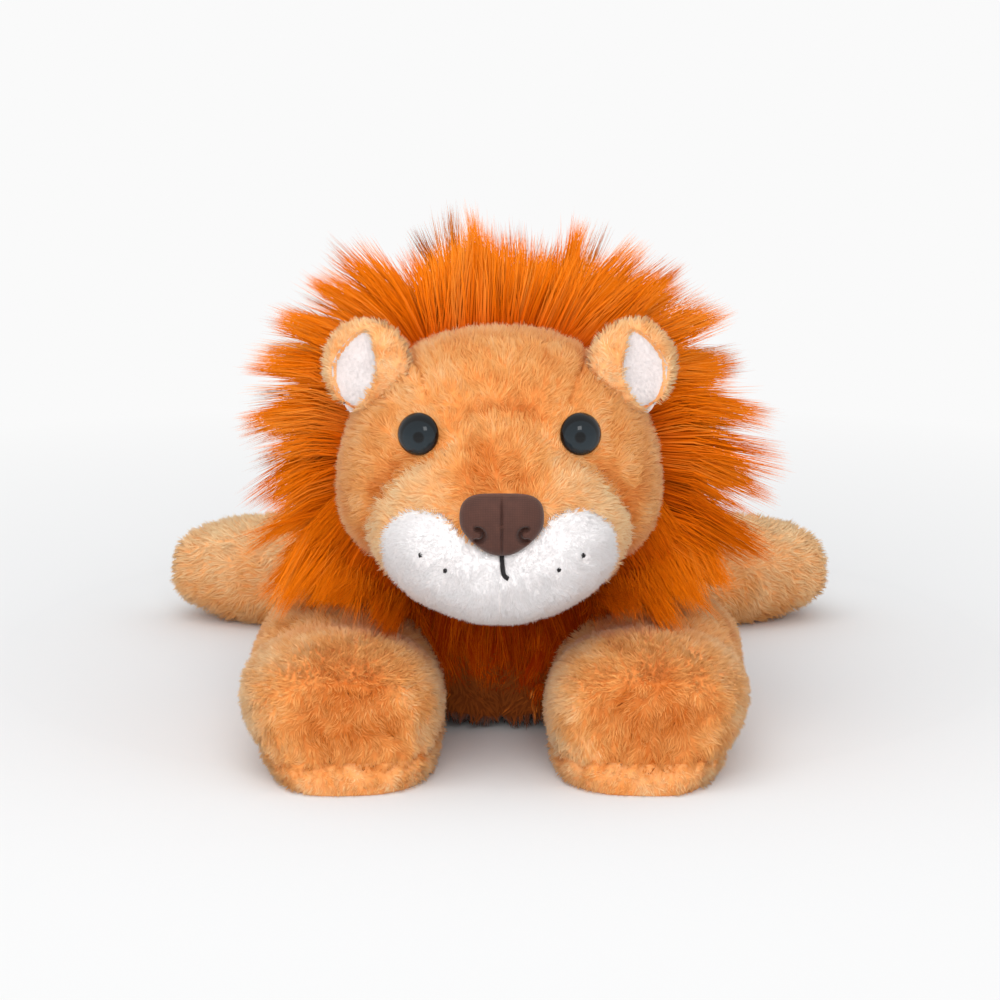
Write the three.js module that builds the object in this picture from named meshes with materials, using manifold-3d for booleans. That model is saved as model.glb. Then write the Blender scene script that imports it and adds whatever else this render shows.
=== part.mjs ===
// A plush lion that lies on its belly, with its chin above its front paws and its hind feet splayed.
// Millimetres, +Z up. The lion faces -Y and its own left side is at +X. Every skin is a sewn shell of
// pile fabric round a fibre filling, and the head, legs, ears and tail turn at their seams. Places are
// measured ahead of and behind a line under the withers. At the end the whole lion is moved, so that
// the origin is on the floor under the middle of its length.
import * as THREE from 'three';
import { mergeVertices } from 'three/addons/utils/BufferGeometryUtils.js';
import Module from 'manifold-3d';

const solids = await Module();
solids.setup();

// Clearances and cloth
const gap = 0.35;
const turningGap = 0.9;
const socketGap = 0.5;
const fabric = 2.5;
const floorFlat = 0.5;
const overrun = 3;

// A stuffed form is given by its widest line (middle), its rise above that line, its half width, and
// shares of both from its first end to its last. Fullness under 1 makes blunter ends.
const torso = {
  ahead: 78, behind: 132, halfWidth: 56, middle: 41, rise: 50,
  widthShares: [0.84, 0.88, 0.95, 1, 0.98, 0.92], riseShares: [0.9, 1, 0.98, 0.95, 0.94, 0.88],
  fullness: 0.6, squareness: 2.3, sides: 16, steps: 10,
};
const head = {
  ahead: 146, back: 54, halfWidth: 58.7, middle: 93, rise: 59.5, drop: 35,
  widthShares: [1, 1], riseShares: [1, 1], fullness: 0.62, squareness: 2.15, sides: 24, steps: 10,
};
const frontLeg = {
  shoulderAcross: 52, shoulderAhead: 26, elbowAcross: 58, pawAcross: 53.5, pawAhead: 168,
  halfWidth: 41, middle: 23, rise: 26.5, sunk: 14,
  widthShares: [0.9, 0.92, 0.78, 0.84, 0.95, 1], riseShares: [0.86, 0.96, 0.94, 0.9, 1, 1],
  fullness: 0.4, squareness: 2.35, sides: 16, steps: 10,
};
const hindLeg = {
  hipAcross: 38, hipBehind: 74, footAcross: 136, footBehind: 97,
  halfWidth: 26, middle: 20, rise: 24.5,
  widthShares: [0.9, 1, 1, 0.96, 0.92], riseShares: [1, 1, 1, 0.96, 0.9],
  fullness: 0.56, squareness: 2.3, sides: 16, steps: 8,
};
const tail = {
  rootBehind: 122, rootHeight: 33, bendBehind: 146, bendHeight: 21, restBehind: 172, endBehind: 226,
  halfWidth: 9, widthShares: [1, 1], riseShares: [1, 1], fullness: 0.4, squareness: 2, sides: 8, steps: 8,
};
const tuft = {
  startBehind: 208, endBehind: 252, halfWidth: 15, middle: 12, rise: 13,
  widthShares: [0.55, 0.9, 1, 0.72, 0.3], riseShares: [0.6, 0.95, 1, 0.72, 0.3],
  fullness: 0.5, squareness: 2, sides: 12, steps: 8,
};
const neck = { ahead: 55, height: 80, radius: 24, segments: 24, rings: 12 };
const sole = { seamHeight: 9.5, behindPawFront: 76 };

// The muzzle: a tan snout above two white pads that meet on the centre line
const snout = { ahead: 121, height: 97, half: [46, 38, 29.5], segments: 16, rings: 9 };
const pad = { across: 15.5, ahead: 129, height: 77, half: [26.5, 33.5, 22.5], segments: 16, rings: 10 };
const nose = {
  ahead: 157, height: 96, half: [17.5, 10.5, 13], topWidth: 29, topAbove: 9.5, tipBelow: 11.5,
  shoulderShare: 0.42, tipRoundShare: 0.3, nostrilAcrossShare: 0.57, nostrilBelow: 3, nostrilRadius: 2.3,
  segments: 14, rings: 9, curveSteps: 5, dent: { segments: 8, rings: 6 },
};
const mouth = {
  top: 83.5, kink: 79, bottom: 74.5, swayShares: [-0.5, 0, 0.5], sway: 0.9, radius: 0.55,
  arcSteps: 3, steps: 6,
};
const whisker = {
  half: [1.5, 0.6, 0.9], places: { outer: [28, 81.5], inner: [19.5, 77] }, segments: 6, rings: 4,
};

// The eyes: a dome and its ribbed shank in one moulding, held by a washer behind the skin
const eye = {
  across: 27.7, aboveHeadMiddle: 28, radius: 7, dome: 5, rim: 0.8, shankRadius: 1.6, shankLength: 11,
  outwardDegrees: 24, upwardDegrees: 18, arcSteps: 4, segments: 14,
};
const washer = { radius: 6.5, thickness: 1.2, behindSkin: 2.1, segments: 12 };

// The ears: cupped discs of tan cloth, lined with white
const ear = {
  across: 46.2, ahead: 112, aboveHead: 11.2, half: [16.8, 8.5, 17], cupAhead: 6, wall: 2.4, lining: 1.5,
  leanDegrees: 43, outwardDegrees: 12, rootInward: 6.8, segments: 12, rings: 8,
};

// The mane: panels that stand out from the head's seam in pointed tufts. Angles go from straight up.
const mane = {
  height: 104, tipAcross: 98.5, tipUp: 86, rootRadius: 40, front: 98, tip: 70, back: 16,
  napeRadius: 14, napeBack: 22,
  frontMidShare: 0.62, backMidShare: 0.72, valleyShare: 0.86,
};
const crown = { fromDegrees: -61, toDegrees: 61, tufts: 9 };
const sidePanel = { fromDegrees: 62, toDegrees: 110, tufts: 4 };
const shoulderPanel = {
  fromDegrees: 118, toDegrees: 145, tufts: 3, tipAcross: 107, tipUp: 109, rootRadius: 65, front: 70,
  back: 20, napeRadius: 65, napeBack: 20,
};
const bib = {
  top: 56, bottom: 5, halfWidth: 15, thickness: 9,
  widthShares: [1, 1, 0.95, 0.75, 0.4], riseShares: [1, 1, 0.95, 0.7, 0.4],
  fullness: 0.45, squareness: 2.2, sides: 12, steps: 8,
};
const nape = {
  start: -4, end: 72, halfWidth: 61, rise: 59, widthShares: [1, 0.98, 0.84, 0.62],
  riseShares: [1, 1, 0.95, 0.86], fullness: 0.3, squareness: 2.3, sides: 20, steps: 8, above: 6,
};

// How far each seam lets its piece turn, in degrees from rest
const turns = {
  headDegrees: [-15, 0, 15], nodDegrees: [0, 12], frontLegDegrees: [-4, 4, 12, 20],
  hindLegDegrees: [-12, -4, 4, 12], tailDegrees: [-30, -15, 0, 15, 30], earDegrees: [0, 12, 24],
};
const frontLegJoint = { across: 42, ahead: 46 };
const hindLegJoint = { across: 50, behind: 78 };
const tailJoint = { behind: 131 };

const finishes = {
  tanPlush: { color: 0xe2a168, roughness: 0.95, metalness: 0 },
  whitePlush: { color: 0xefe6e4, roughness: 0.95, metalness: 0 },
  manePile: { color: 0xdc6a14, roughness: 0.85, metalness: 0 },
  noseCloth: { color: 0x553733, roughness: 0.75, metalness: 0 },
  thread: { color: 0x191516, roughness: 0.7, metalness: 0 },
  eyeGloss: { color: 0x0b0c0e, roughness: 0.08, metalness: 0 },
  fibre: { color: 0xf4f1ea, roughness: 1, metalness: 0 },
  washerPlastic: { color: 0xdcdcd8, roughness: 0.5, metalness: 0 },
};

const up = new THREE.Vector3(0, 0, 1);
const sideways = new THREE.Vector3(1, 0, 0);
const point = (x, y, z) => new THREE.Vector3(x, y, z);
const radians = THREE.MathUtils.degToRad;

// Joining and cutting

function toSolid(geometry) {
  const plain = geometry.clone();
  plain.deleteAttribute('normal');
  plain.deleteAttribute('uv');
  const merged = mergeVertices(plain);
  return new solids.Manifold(new solids.Mesh({
    numProp: 3,
    vertProperties: new Float32Array(merged.attributes.position.array),
    triVerts: new Uint32Array(merged.index.array),
  }));
}

function toGeometry(solid) {
  const mesh = solid.getMesh();
  const geometry = new THREE.BufferGeometry();
  geometry.setAttribute('position', new THREE.BufferAttribute(mesh.vertProperties, 3));
  geometry.setIndex(new THREE.BufferAttribute(mesh.triVerts, 1));
  return geometry;
}

function cut(geometry, ...cutters) {
  return toGeometry(cutters.reduce((rest, cutter) => rest.subtract(toSolid(cutter)), toSolid(geometry)));
}

function common(geometry, other) {
  return toGeometry(toSolid(geometry).intersect(toSolid(other)));
}

// The largest of the bodies that a cut leaves
function largest(geometry) {
  const bodies = toSolid(geometry).decompose();
  bodies.sort((a, b) => b.volume() - a.volume());
  return toGeometry(bodies[0]);
}

function turned(geometry, pivot, axis, degrees) {
  const turn = new THREE.Matrix4().makeTranslation(pivot);
  turn.multiply(new THREE.Matrix4().makeRotationAxis(axis, radians(degrees)));
  turn.multiply(new THREE.Matrix4().makeTranslation(pivot.clone().negate()));
  return geometry.clone().applyMatrix4(turn);
}

// Cuts from a piece what its neighbour would pass through as the piece turns on its joint
function clearWhileTurning(geometry, neighbour, { pivot, axis, degrees }) {
  return cut(geometry, ...degrees.map((angle) => turned(neighbour, pivot, axis, -angle)));
}

// Cuts from a piece that stays what its neighbour passes through as the neighbour turns
function clearOfTurning(geometry, neighbour, { pivot, axis, degrees }) {
  return cut(geometry, ...degrees.map((angle) => turned(neighbour, pivot, axis, angle)));
}

// Forms

function shareAt(shares, along) {
  const place = along * (shares.length - 1);
  const index = Math.min(Math.floor(place), shares.length - 2);
  return THREE.MathUtils.lerp(shares[index], shares[index + 1], place - index);
}

// The inside of a skin needs fewer faces than its outside
const coarser = { sides: 4, steps: 2 };

// A closed form that swells and tapers along its spine, grown on all sides by a length
function stuffed(form, spine, drop, grow = 0) {
  const curve = new THREE.CatmullRomCurve3(spine);
  const sides = form.sides - (grow < 0 ? coarser.sides : 0);
  const steps = form.steps - (grow < 0 ? coarser.steps : 0);
  const positions = [];
  for (let step = 0; step <= steps; step++) {
    const angle = Math.PI * step / steps;
    const along = (1 - Math.cos(angle)) / 2;
    const end = Math.max(Math.sin(angle), 0) ** form.fullness;
    const tangent = curve.getTangentAt(along);
    const across = tangent.clone().cross(up).normalize();
    const rising = across.clone().cross(tangent);
    const centre = curve.getPointAt(along).addScaledVector(tangent, grow * (2 * along - 1));
    const width = (form.halfWidth * shareAt(form.widthShares, along) + grow) * end;
    const above = (form.rise * shareAt(form.riseShares, along) + grow) * end;
    const below = (drop + grow) * end;
    const isPole = step === 0 || step === steps;
    for (let side = 0; side < (isPole ? 1 : sides); side++) {
      const round = 2 * Math.PI * side / sides;
      const aside = Math.sign(Math.cos(round)) * Math.abs(Math.cos(round)) ** (2 / form.squareness);
      const lift = Math.sign(Math.sin(round)) * Math.abs(Math.sin(round)) ** (2 / form.squareness);
      const place = centre.clone();
      if (!isPole) {
        place.addScaledVector(across, width * aside);
        place.addScaledVector(rising, (lift > 0 ? above : below) * lift);
      }
      positions.push(...place.toArray());
    }
  }
  return closedRings(positions, sides, steps);
}

// Faces for a pole, rings of equal count and a last pole
function closedRings(positions, sides, steps) {
  const faces = [];
  const last = 1 + sides * (steps - 1);
  const ringPoint = (ring, side) => 1 + sides * ring + side % sides;
  for (let side = 0; side < sides; side++) {
    faces.push(0, ringPoint(0, side), ringPoint(0, side + 1));
    faces.push(last, ringPoint(steps - 2, side + 1), ringPoint(steps - 2, side));
    for (let ring = 0; ring < steps - 2; ring++) {
      const [a, b] = [ringPoint(ring, side), ringPoint(ring, side + 1)];
      const [c, d] = [ringPoint(ring + 1, side), ringPoint(ring + 1, side + 1)];
      faces.push(a, c, b, b, c, d);
    }
  }
  const geometry = new THREE.BufferGeometry();
  geometry.setAttribute('position', new THREE.BufferAttribute(new Float32Array(positions), 3));
  geometry.setIndex(faces);
  return geometry;
}

function ellipsoid(centre, half, { segments, rings }, grow = 0) {
  const geometry = new THREE.SphereGeometry(1, segments, rings);
  geometry.rotateX(Math.PI / 2);
  geometry.scale(half[0] + grow, half[1] + grow, half[2] + grow);
  return geometry.translate(...centre.toArray());
}

function block(low, high) {
  const size = high.clone().sub(low);
  const middle = low.clone().add(high).multiplyScalar(0.5);
  return new THREE.BoxGeometry(...size.toArray()).translate(...middle.toArray());
}

// A block that takes away all that lies below a height, such as the floor
const reach = hindLeg.footAcross + tuft.endBehind + frontLeg.pawAhead;
const below = (height) => block(point(-reach, -reach, -reach), point(reach, reach, height));
const onFloor = (geometry) => cut(geometry, below(0));

// The places of the joints

const neckPivot = point(0, -neck.ahead, neck.height);
const headTurn = { pivot: neckPivot, axis: up, degrees: turns.headDegrees };
const headNod = { pivot: neckPivot, axis: sideways.clone().negate(), degrees: turns.nodDegrees };
const frontLegTurn = (side) => ({
  pivot: point(side * frontLegJoint.across, -frontLegJoint.ahead, 0),
  axis: up.clone().multiplyScalar(side), degrees: turns.frontLegDegrees,
});
const hindLegTurn = (side) => ({
  pivot: point(side * hindLegJoint.across, hindLegJoint.behind, 0),
  axis: up.clone().multiplyScalar(side), degrees: turns.hindLegDegrees,
});
const tailTurn = { pivot: point(0, tailJoint.behind, 0), axis: up, degrees: turns.tailDegrees };

// Outer forms

const torsoForm = (grow) => stuffed(
  torso, [point(0, -torso.ahead, torso.middle), point(0, torso.behind, torso.middle)],
  torso.middle + floorFlat, grow);
const headForm = (grow) => stuffed(
  head, [point(0, -head.back, head.middle), point(0, -head.ahead, head.middle)], head.drop, grow);
const frontLegRound = (side, grow) => stuffed(
  frontLeg, [
    point(side * frontLeg.shoulderAcross, -frontLeg.shoulderAhead, frontLeg.middle),
    point(side * frontLeg.elbowAcross, -(frontLeg.shoulderAhead + frontLeg.pawAhead) / 2, frontLeg.middle),
    point(side * frontLeg.pawAcross, -frontLeg.pawAhead, frontLeg.middle)],
  frontLeg.middle + frontLeg.sunk, grow);
const frontLegForm = (side, grow = 0) => cut(frontLegRound(side, grow), below(-grow));
const hindLegForm = (side, grow) => stuffed(
  hindLeg, [
    point(side * hindLeg.hipAcross, hindLeg.hipBehind, hindLeg.middle),
    point(side * hindLeg.footAcross, hindLeg.footBehind, hindLeg.middle)],
  hindLeg.middle + floorFlat, grow);
const tailRest = tail.halfWidth - floorFlat;
const tailForm = (grow) => stuffed(
  { ...tail, rise: tail.halfWidth }, [
    point(0, tail.rootBehind, tail.rootHeight), point(0, tail.bendBehind, tail.bendHeight),
    point(0, tail.restBehind, tailRest), point(0, tail.endBehind, tailRest)],
  tail.halfWidth, grow);
const tuftForm = stuffed(
  tuft, [point(0, tuft.startBehind, tuft.middle), point(0, tuft.endBehind, tuft.middle)],
  tuft.middle + floorFlat);
const neckBall = (grow) => ellipsoid(
  neckPivot, Array(3).fill(neck.radius), neck, grow);

// How far ahead a round form's surface is at a place across and up, for pieces that sit on it
function headAhead(across, height) {
  const above = height - head.middle;
  const tall = above > 0 ? head.rise : head.drop;
  const wide = Math.abs(across / head.halfWidth) ** head.squareness;
  const section = (wide + Math.abs(above / tall) ** head.squareness) ** (1 / head.squareness);
  const along = (1 - Math.cos(Math.PI - Math.asin(section ** (1 / head.fullness)))) / 2;
  return THREE.MathUtils.lerp(head.back, head.ahead, along);
}

// How high the head's form is at a place across and ahead
function headTopAt(across, ahead) {
  const along = (ahead - head.back) / (head.ahead - head.back);
  const end = Math.sin(Math.acos(1 - 2 * along)) ** head.fullness;
  const wide = (across / (head.halfWidth * end)) ** head.squareness;
  return head.middle + head.rise * end * (1 - wide) ** (1 / head.squareness);
}

function padAhead(across, height) {
  const wide = ((Math.abs(across) - pad.across) / pad.half[0]) ** 2;
  const tall = ((height - pad.height) / pad.half[2]) ** 2;
  return pad.ahead + pad.half[1] * Math.sqrt(1 - wide - tall);
}

// The tree of groups, each at its joint

const lion = new THREE.Group();

function groupAt(pivot, parent = lion) {
  const group = new THREE.Group();
  group.position.copy(pivot);
  lion.add(group);
  lion.updateMatrixWorld(true);
  parent.attach(group);
  return group;
}

function addPiece(group, name, geometry, finish) {
  const mesh = new THREE.Mesh(geometry, new THREE.MeshStandardMaterial(finishes[finish]));
  mesh.name = name;
  group.updateWorldMatrix(true, false);
  geometry.applyMatrix4(group.matrixWorld.clone().invert());
  group.add(mesh);
  return mesh;
}

// A leg: a skin that is open at the body, and its filling
function addLeg(group, name, suffix, form, joint) {
  const seam = (grow) => clearWhileTurning(form(grow), torsoForm(turningGap), joint);
  const filling = clearWhileTurning(form(-fabric - gap), torsoForm(turningGap + fabric), joint);
  const skin = cut(onFloor(seam(0)), form(-fabric));
  addPiece(group, `${name}_filling_${suffix}`, largest(filling), 'fibre');
  return largest(skin);
}

// The torso, its filling and the wad in the neck

function addTorso() {
  const inside = cut(torsoForm(-fabric), neckBall(-overrun));
  const skin = cut(onFloor(torsoForm()), inside, neckBall(socketGap));
  const filling = cut(torsoForm(-fabric - gap), neckBall(socketGap));
  addPiece(lion, 'torso_cover', largest(skin), 'tanPlush');
  addPiece(lion, 'torso_filling', largest(filling), 'fibre');
}

const neckGroup = groupAt(neckPivot);
const headGroup = groupAt(neckPivot, neckGroup);

function clearOfTorso(geometry, grow = turningGap) {
  const copies = [];
  for (const turn of headTurn.degrees) {
    const aside = turned(torsoForm(grow), headTurn.pivot, headTurn.axis, -turn);
    copies.push(...headNod.degrees.map((nod) => turned(aside, headNod.pivot, headNod.axis, -nod)));
  }
  return cut(geometry, ...copies);
}

// The eyes and their washers

const eyePlace = (side) => {
  const towards = new THREE.Euler(
    radians(-eye.upwardDegrees), 0, side * radians(eye.outwardDegrees), 'ZXY');
  const height = head.middle + eye.aboveHeadMiddle;
  const seat = point(side * eye.across, -headAhead(eye.across, height), height);
  const outward = point(0, -1, 0).applyEuler(towards);
  return { towards, outward, seat: seat.addScaledVector(outward, gap) };
};

function lathed(profile, segments) {
  return new THREE.LatheGeometry(profile.map(([x, y]) => new THREE.Vector2(x, y)), segments);
}

// A lathed piece's +Y is its outward axis, so it's turned over to face -Y
function atEye(geometry, { towards, seat }) {
  return geometry.rotateX(Math.PI).applyMatrix4(
    new THREE.Matrix4().makeRotationFromEuler(towards)).translate(...seat.toArray());
}

function eyeMoulding() {
  const profile = [
    [0, -eye.shankLength], [eye.shankRadius, -eye.shankLength], [eye.shankRadius, 0], [eye.radius, 0],
  ];
  for (let step = 0; step < eye.arcSteps; step++) {
    const angle = Math.PI / 2 * step / eye.arcSteps;
    profile.push([eye.radius * Math.cos(angle), eye.rim + (eye.dome - eye.rim) * Math.sin(angle)]);
  }
  profile.push([0, eye.dome]);
  return lathed(profile, eye.segments);
}

function ring(inner, outer, low, high, segments) {
  return lathed([[inner, low], [outer, low], [outer, high], [inner, high], [inner, low]], segments);
}

function addEye(side, suffix) {
  const place = eyePlace(side);
  const back = -gap - fabric - washer.behindSkin;
  const disc = ring(eye.shankRadius + gap, washer.radius, back - washer.thickness, back, washer.segments);
  addPiece(headGroup, `eye_${suffix}`, atEye(eyeMoulding(), place), 'eyeGloss');
  addPiece(headGroup, `eye_washer_${suffix}`, atEye(disc, place), 'washerPlastic');
}

// The room that an eye takes: its shank's hole and, deeper in, the washer's pocket
function eyeHole(side) {
  const radius = eye.shankRadius + gap;
  const deep = -eye.shankLength - gap;
  const hole = [[0, deep], [radius, deep], [radius, overrun], [0, overrun]];
  return atEye(lathed(hole, eye.segments), eyePlace(side));
}

function washerPocket(side) {
  const radius = washer.radius + gap;
  const deep = -gap - fabric - washer.behindSkin - washer.thickness - gap;
  return atEye(lathed([[0, deep], [radius, deep], [radius, 0], [0, 0]], washer.segments), eyePlace(side));
}

// The muzzle keeps clear of the whole eye, and of all that is ahead of it
function eyeRoom(side) {
  const radius = eye.radius + gap;
  const [deep, far] = [-eye.shankLength, snout.half[1]];
  const room = [[0, deep], [radius, deep], [radius, far], [0, far]];
  return atEye(lathed(room, eye.segments), eyePlace(side));
}

// The head, with its filling

function addHead() {
  const inside = cut(headForm(-fabric), neckBall(-overrun));
  const skin = cut(headForm(), inside, neckBall(socketGap), eyeHole(-1), eyeHole(1));
  const filling = cut(
    headForm(-fabric - gap), neckBall(socketGap), eyeHole(-1), eyeHole(1), washerPocket(-1), washerPocket(1));
  addPiece(headGroup, 'head_cover', largest(clearOfTorso(skin)), 'tanPlush');
  addPiece(headGroup, 'head_filling', largest(clearOfTorso(filling, turningGap + fabric)), 'fibre');
}

// The muzzle

const snoutCentre = point(0, -snout.ahead, snout.height);
const snoutForm = (grow) => ellipsoid(snoutCentre, snout.half, snout, grow);
const padForm = (side, grow) => ellipsoid(
  point(side * pad.across, -pad.ahead, pad.height), pad.half, pad, grow);

function addMuzzle() {
  const pads = [-1, 1].map((side) => padForm(side, gap));
  const skin = cut(snoutForm(), snoutForm(-fabric), headForm(gap), ...pads, eyeRoom(-1), eyeRoom(1));
  const filling = cut(snoutForm(-fabric - gap), headForm(gap), ...pads, eyeRoom(-1), eyeRoom(1));
  addPiece(headGroup, 'snout_cover', largest(skin), 'tanPlush');
  addPiece(headGroup, 'muzzle_filling', largest(filling), 'fibre');
  for (const [side, suffix] of [[-1, 'right'], [1, 'left']]) {
    const half = block(
      point(side > 0 ? gap / 2 : -reach, -reach, -reach), point(side > 0 ? reach : -gap / 2, reach, reach));
    const halfPad = cut(common(padForm(side), half), headForm(gap));
    addPiece(headGroup, `muzzle_pad_${suffix}`, largest(halfPad), 'whitePlush');
  }
}

// The nose: a rounded triangle seen from ahead, swollen towards its middle
function addNose() {
  const width = nose.topWidth / 2;
  const top = nose.height + nose.topAbove;
  const tip = nose.height - nose.tipBelow;
  const shoulder = top - nose.shoulderShare * (top - tip);
  const tipRound = nose.tipRoundShare * width;
  const outline = new THREE.Shape();
  outline.moveTo(0, top);
  outline.quadraticCurveTo(width, top, width, shoulder);
  outline.quadraticCurveTo(width, tip + tipRound, tipRound, tip);
  outline.lineTo(-tipRound, tip);
  outline.quadraticCurveTo(-width, tip + tipRound, -width, shoulder);
  outline.quadraticCurveTo(-width, top, 0, top);
  const prism = new THREE.ExtrudeGeometry(
    outline, { depth: reach, bevelEnabled: false, curveSegments: nose.curveSteps });
  prism.rotateX(Math.PI / 2);
  const swollen = ellipsoid(point(0, -nose.ahead, nose.height), nose.half, nose);
  const nostrils = [-1, 1].map((side) => {
    const across = nose.nostrilAcrossShare * width;
    const wide = (across / nose.half[0]) ** 2;
    const tall = (nose.nostrilBelow / nose.half[2]) ** 2;
    const ahead = nose.ahead + nose.half[1] * Math.sqrt(1 - wide - tall);
    const centre = point(side * across, -ahead, nose.height - nose.nostrilBelow);
    return ellipsoid(centre, Array(3).fill(nose.nostrilRadius), nose.dent);
  });
  const behind = [headForm(gap), snoutForm(gap), padForm(-1, gap), padForm(1, gap)];
  const body = cut(common(swollen, prism), ...behind, ...nostrils);
  addPiece(headGroup, 'nose', largest(body), 'noseCloth');
}

// The black thread: the mouth's seam stitch and the whisker knots
function addStitches() {
  const heights = [mouth.top, mouth.kink, mouth.bottom];
  const path = new THREE.CatmullRomCurve3(heights.map((height, index) => point(
    mouth.sway * mouth.swayShares[index], -padAhead(mouth.sway, height) - mouth.radius - gap, height)));
  const section = new THREE.Shape();
  section.absarc(0, 0, mouth.radius, 0, 2 * Math.PI);
  const stitch = new THREE.ExtrudeGeometry(
    section, { extrudePath: path, steps: mouth.steps, curveSegments: mouth.arcSteps, bevelEnabled: false });
  addPiece(headGroup, 'mouth_stitch', stitch, 'thread');
  let count = 0;
  for (const side of [-1, 1]) {
    for (const [across, height] of Object.values(whisker.places)) {
      count += 1;
      const place = point(side * across, -padAhead(across, height) - whisker.half[1] - gap, height);
      addPiece(headGroup, `whisker_stitch_${count}`, ellipsoid(place, whisker.half, whisker), 'thread');
    }
  }
}

// The ears

const earCentre = (side) => point(
  side * ear.across, -ear.ahead, headTopAt(ear.across, ear.ahead) + ear.aboveHead);

const earPlace = (side) => new THREE.Euler(
  0, side * radians(ear.leanDegrees), side * radians(ear.outwardDegrees), 'ZYX');

function earShape(side, shrink, ahead) {
  const half = ear.half.map((length) => length - shrink);
  const geometry = ellipsoid(point(0, -ahead, 0), half, ear);
  geometry.applyMatrix4(new THREE.Matrix4().makeRotationFromEuler(earPlace(side)));
  return geometry.translate(...earCentre(side).toArray());
}

// An ear folds forwards about the line where it is sewn to the head
function earFold(side) {
  const towardsHead = point(0, 0, -ear.rootInward).applyEuler(earPlace(side));
  const seam = point(1, 0, 0).applyEuler(earPlace(side));
  return { pivot: earCentre(side).add(towardsHead), axis: seam, degrees: turns.earDegrees };
}

function addEar(side, suffix) {
  const fold = earFold(side);
  const group = groupAt(fold.pivot, headGroup);
  const back = cut(earShape(side, 0, 0), earShape(side, ear.wall, ear.cupAhead));
  const lining = cut(earShape(side, ear.wall + gap, ear.cupAhead), earShape(
    side, ear.wall + gap + ear.lining, ear.cupAhead + ear.lining));
  const clear = (geometry) => largest(clearWhileTurning(geometry, headForm(turningGap), fold));
  addPiece(group, `ear_back_${suffix}`, clear(back), 'tanPlush');
  addPiece(group, `ear_lining_${suffix}`, clear(common(lining, earShape(side, 0, 0))), 'whitePlush');
}

// A stretch of the mane, in pointed tufts round the head
function maneSector(panel, from, to) {
  const { tufts, tipAcross, tipUp, rootRadius, front, back, napeRadius, napeBack } = { ...mane, ...panel };
  const rows = 2 * tufts;
  const positions = [];
  for (let row = 0; row <= rows; row++) {
    const angle = radians(THREE.MathUtils.lerp(from, to, row / rows));
    const outward = point(Math.sin(angle), 0, Math.cos(angle));
    const full = tipAcross * tipUp / Math.hypot(tipUp * Math.sin(angle), tipAcross * Math.cos(angle));
    const tipRadius = full * (row % 2 === 0 ? mane.valleyShare : 1);
    const frontMid = THREE.MathUtils.lerp(rootRadius, tipRadius, mane.frontMidShare);
    const backMid = THREE.MathUtils.lerp(rootRadius, tipRadius, mane.backMidShare);
    const section = [
      [rootRadius, front], [frontMid, (front + mane.tip) / 2], [tipRadius, mane.tip], [backMid, back],
      [napeRadius, napeBack],
    ];
    for (const [radius, ahead] of section) {
      const place = outward.clone().multiplyScalar(radius).add(point(0, -ahead, mane.height));
      positions.push(...place.toArray());
    }
  }
  return closedSector(positions, rows, positions.length / (3 * (rows + 1)));
}

// Faces for a bent bar: equal rows of points, with a flat fan over each end
function closedSector(positions, rows, across) {
  const faces = [];
  const at = (row, column) => row * across + column % across;
  for (let row = 0; row < rows; row++) {
    for (let column = 0; column < across; column++) {
      const [a, b] = [at(row, column), at(row, column + 1)];
      const [c, d] = [at(row + 1, column), at(row + 1, column + 1)];
      faces.push(a, c, b, b, c, d);
    }
  }
  for (let column = 1; column < across - 1; column++) {
    faces.push(at(0, 0), at(0, column), at(0, column + 1));
    faces.push(at(rows, 0), at(rows, column + 1), at(rows, column));
  }
  const geometry = new THREE.BufferGeometry();
  geometry.setAttribute('position', new THREE.BufferAttribute(new Float32Array(positions), 3));
  geometry.setIndex(faces);
  return geometry;
}

function addMane() {
  const ears = [-1, 1].map((side) => earShape(side, -gap, 0));
  const hidden = [headForm(gap), neckBall(socketGap), ...ears];
  const crownBody = cut(maneSector(crown, crown.fromDegrees, crown.toDegrees), ...hidden);
  addPiece(headGroup, 'mane_crown', largest(clearOfTorso(crownBody)), 'manePile');
  for (const [side, suffix] of [[-1, 'right'], [1, 'left']]) {
    const sideBody = cut(sectorAt(sidePanel, side), ...hidden);
    const shoulder = clearOfTurning(
      cut(sectorAt(shoulderPanel, side), torsoForm(gap)), frontLegForm(side, turningGap), frontLegTurn(side));
    addPiece(headGroup, `mane_side_${suffix}`, largest(clearOfTorso(sideBody)), 'manePile');
    addPiece(lion, `mane_shoulder_${suffix}`, largest(shoulder), 'manePile');
    addPiece(lion, `mane_bib_${suffix}`, bibPanel(side), 'manePile');
  }
  addPiece(lion, 'mane_nape', napePanel(), 'manePile');
}

// A panel on one side of the head; on the right its angles run the other way
function sectorAt(panel, side) {
  const [from, to] = [side * panel.fromDegrees, side * panel.toDegrees].sort((a, b) => a - b);
  return maneSector(panel, from, to);
}

// Half of the chest's long pile, which hangs between the front legs
function bibPanel(side) {
  const hanging = stuffed(
    { ...bib, rise: bib.thickness }, [point(0, 0, 0), point(0, bib.top - bib.bottom, 0)], bib.thickness);
  hanging.rotateX(-Math.PI / 2).translate(side * (bib.halfWidth + gap / 2), -torso.ahead, bib.top);
  const clear = cut(hanging, torsoForm(gap));
  return largest(clearOfTurning(clear, frontLegForm(side, turningGap), frontLegTurn(side)));
}

// The pile that covers the withers behind the head, as a saddle on the torso
function napePanel() {
  const arch = stuffed(
    nape, [point(0, nape.start, torso.middle), point(0, nape.end, torso.middle)], torso.middle);
  return largest(cut(arch, torsoForm(gap), below(torso.middle + nape.above)));
}

// The legs

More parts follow.
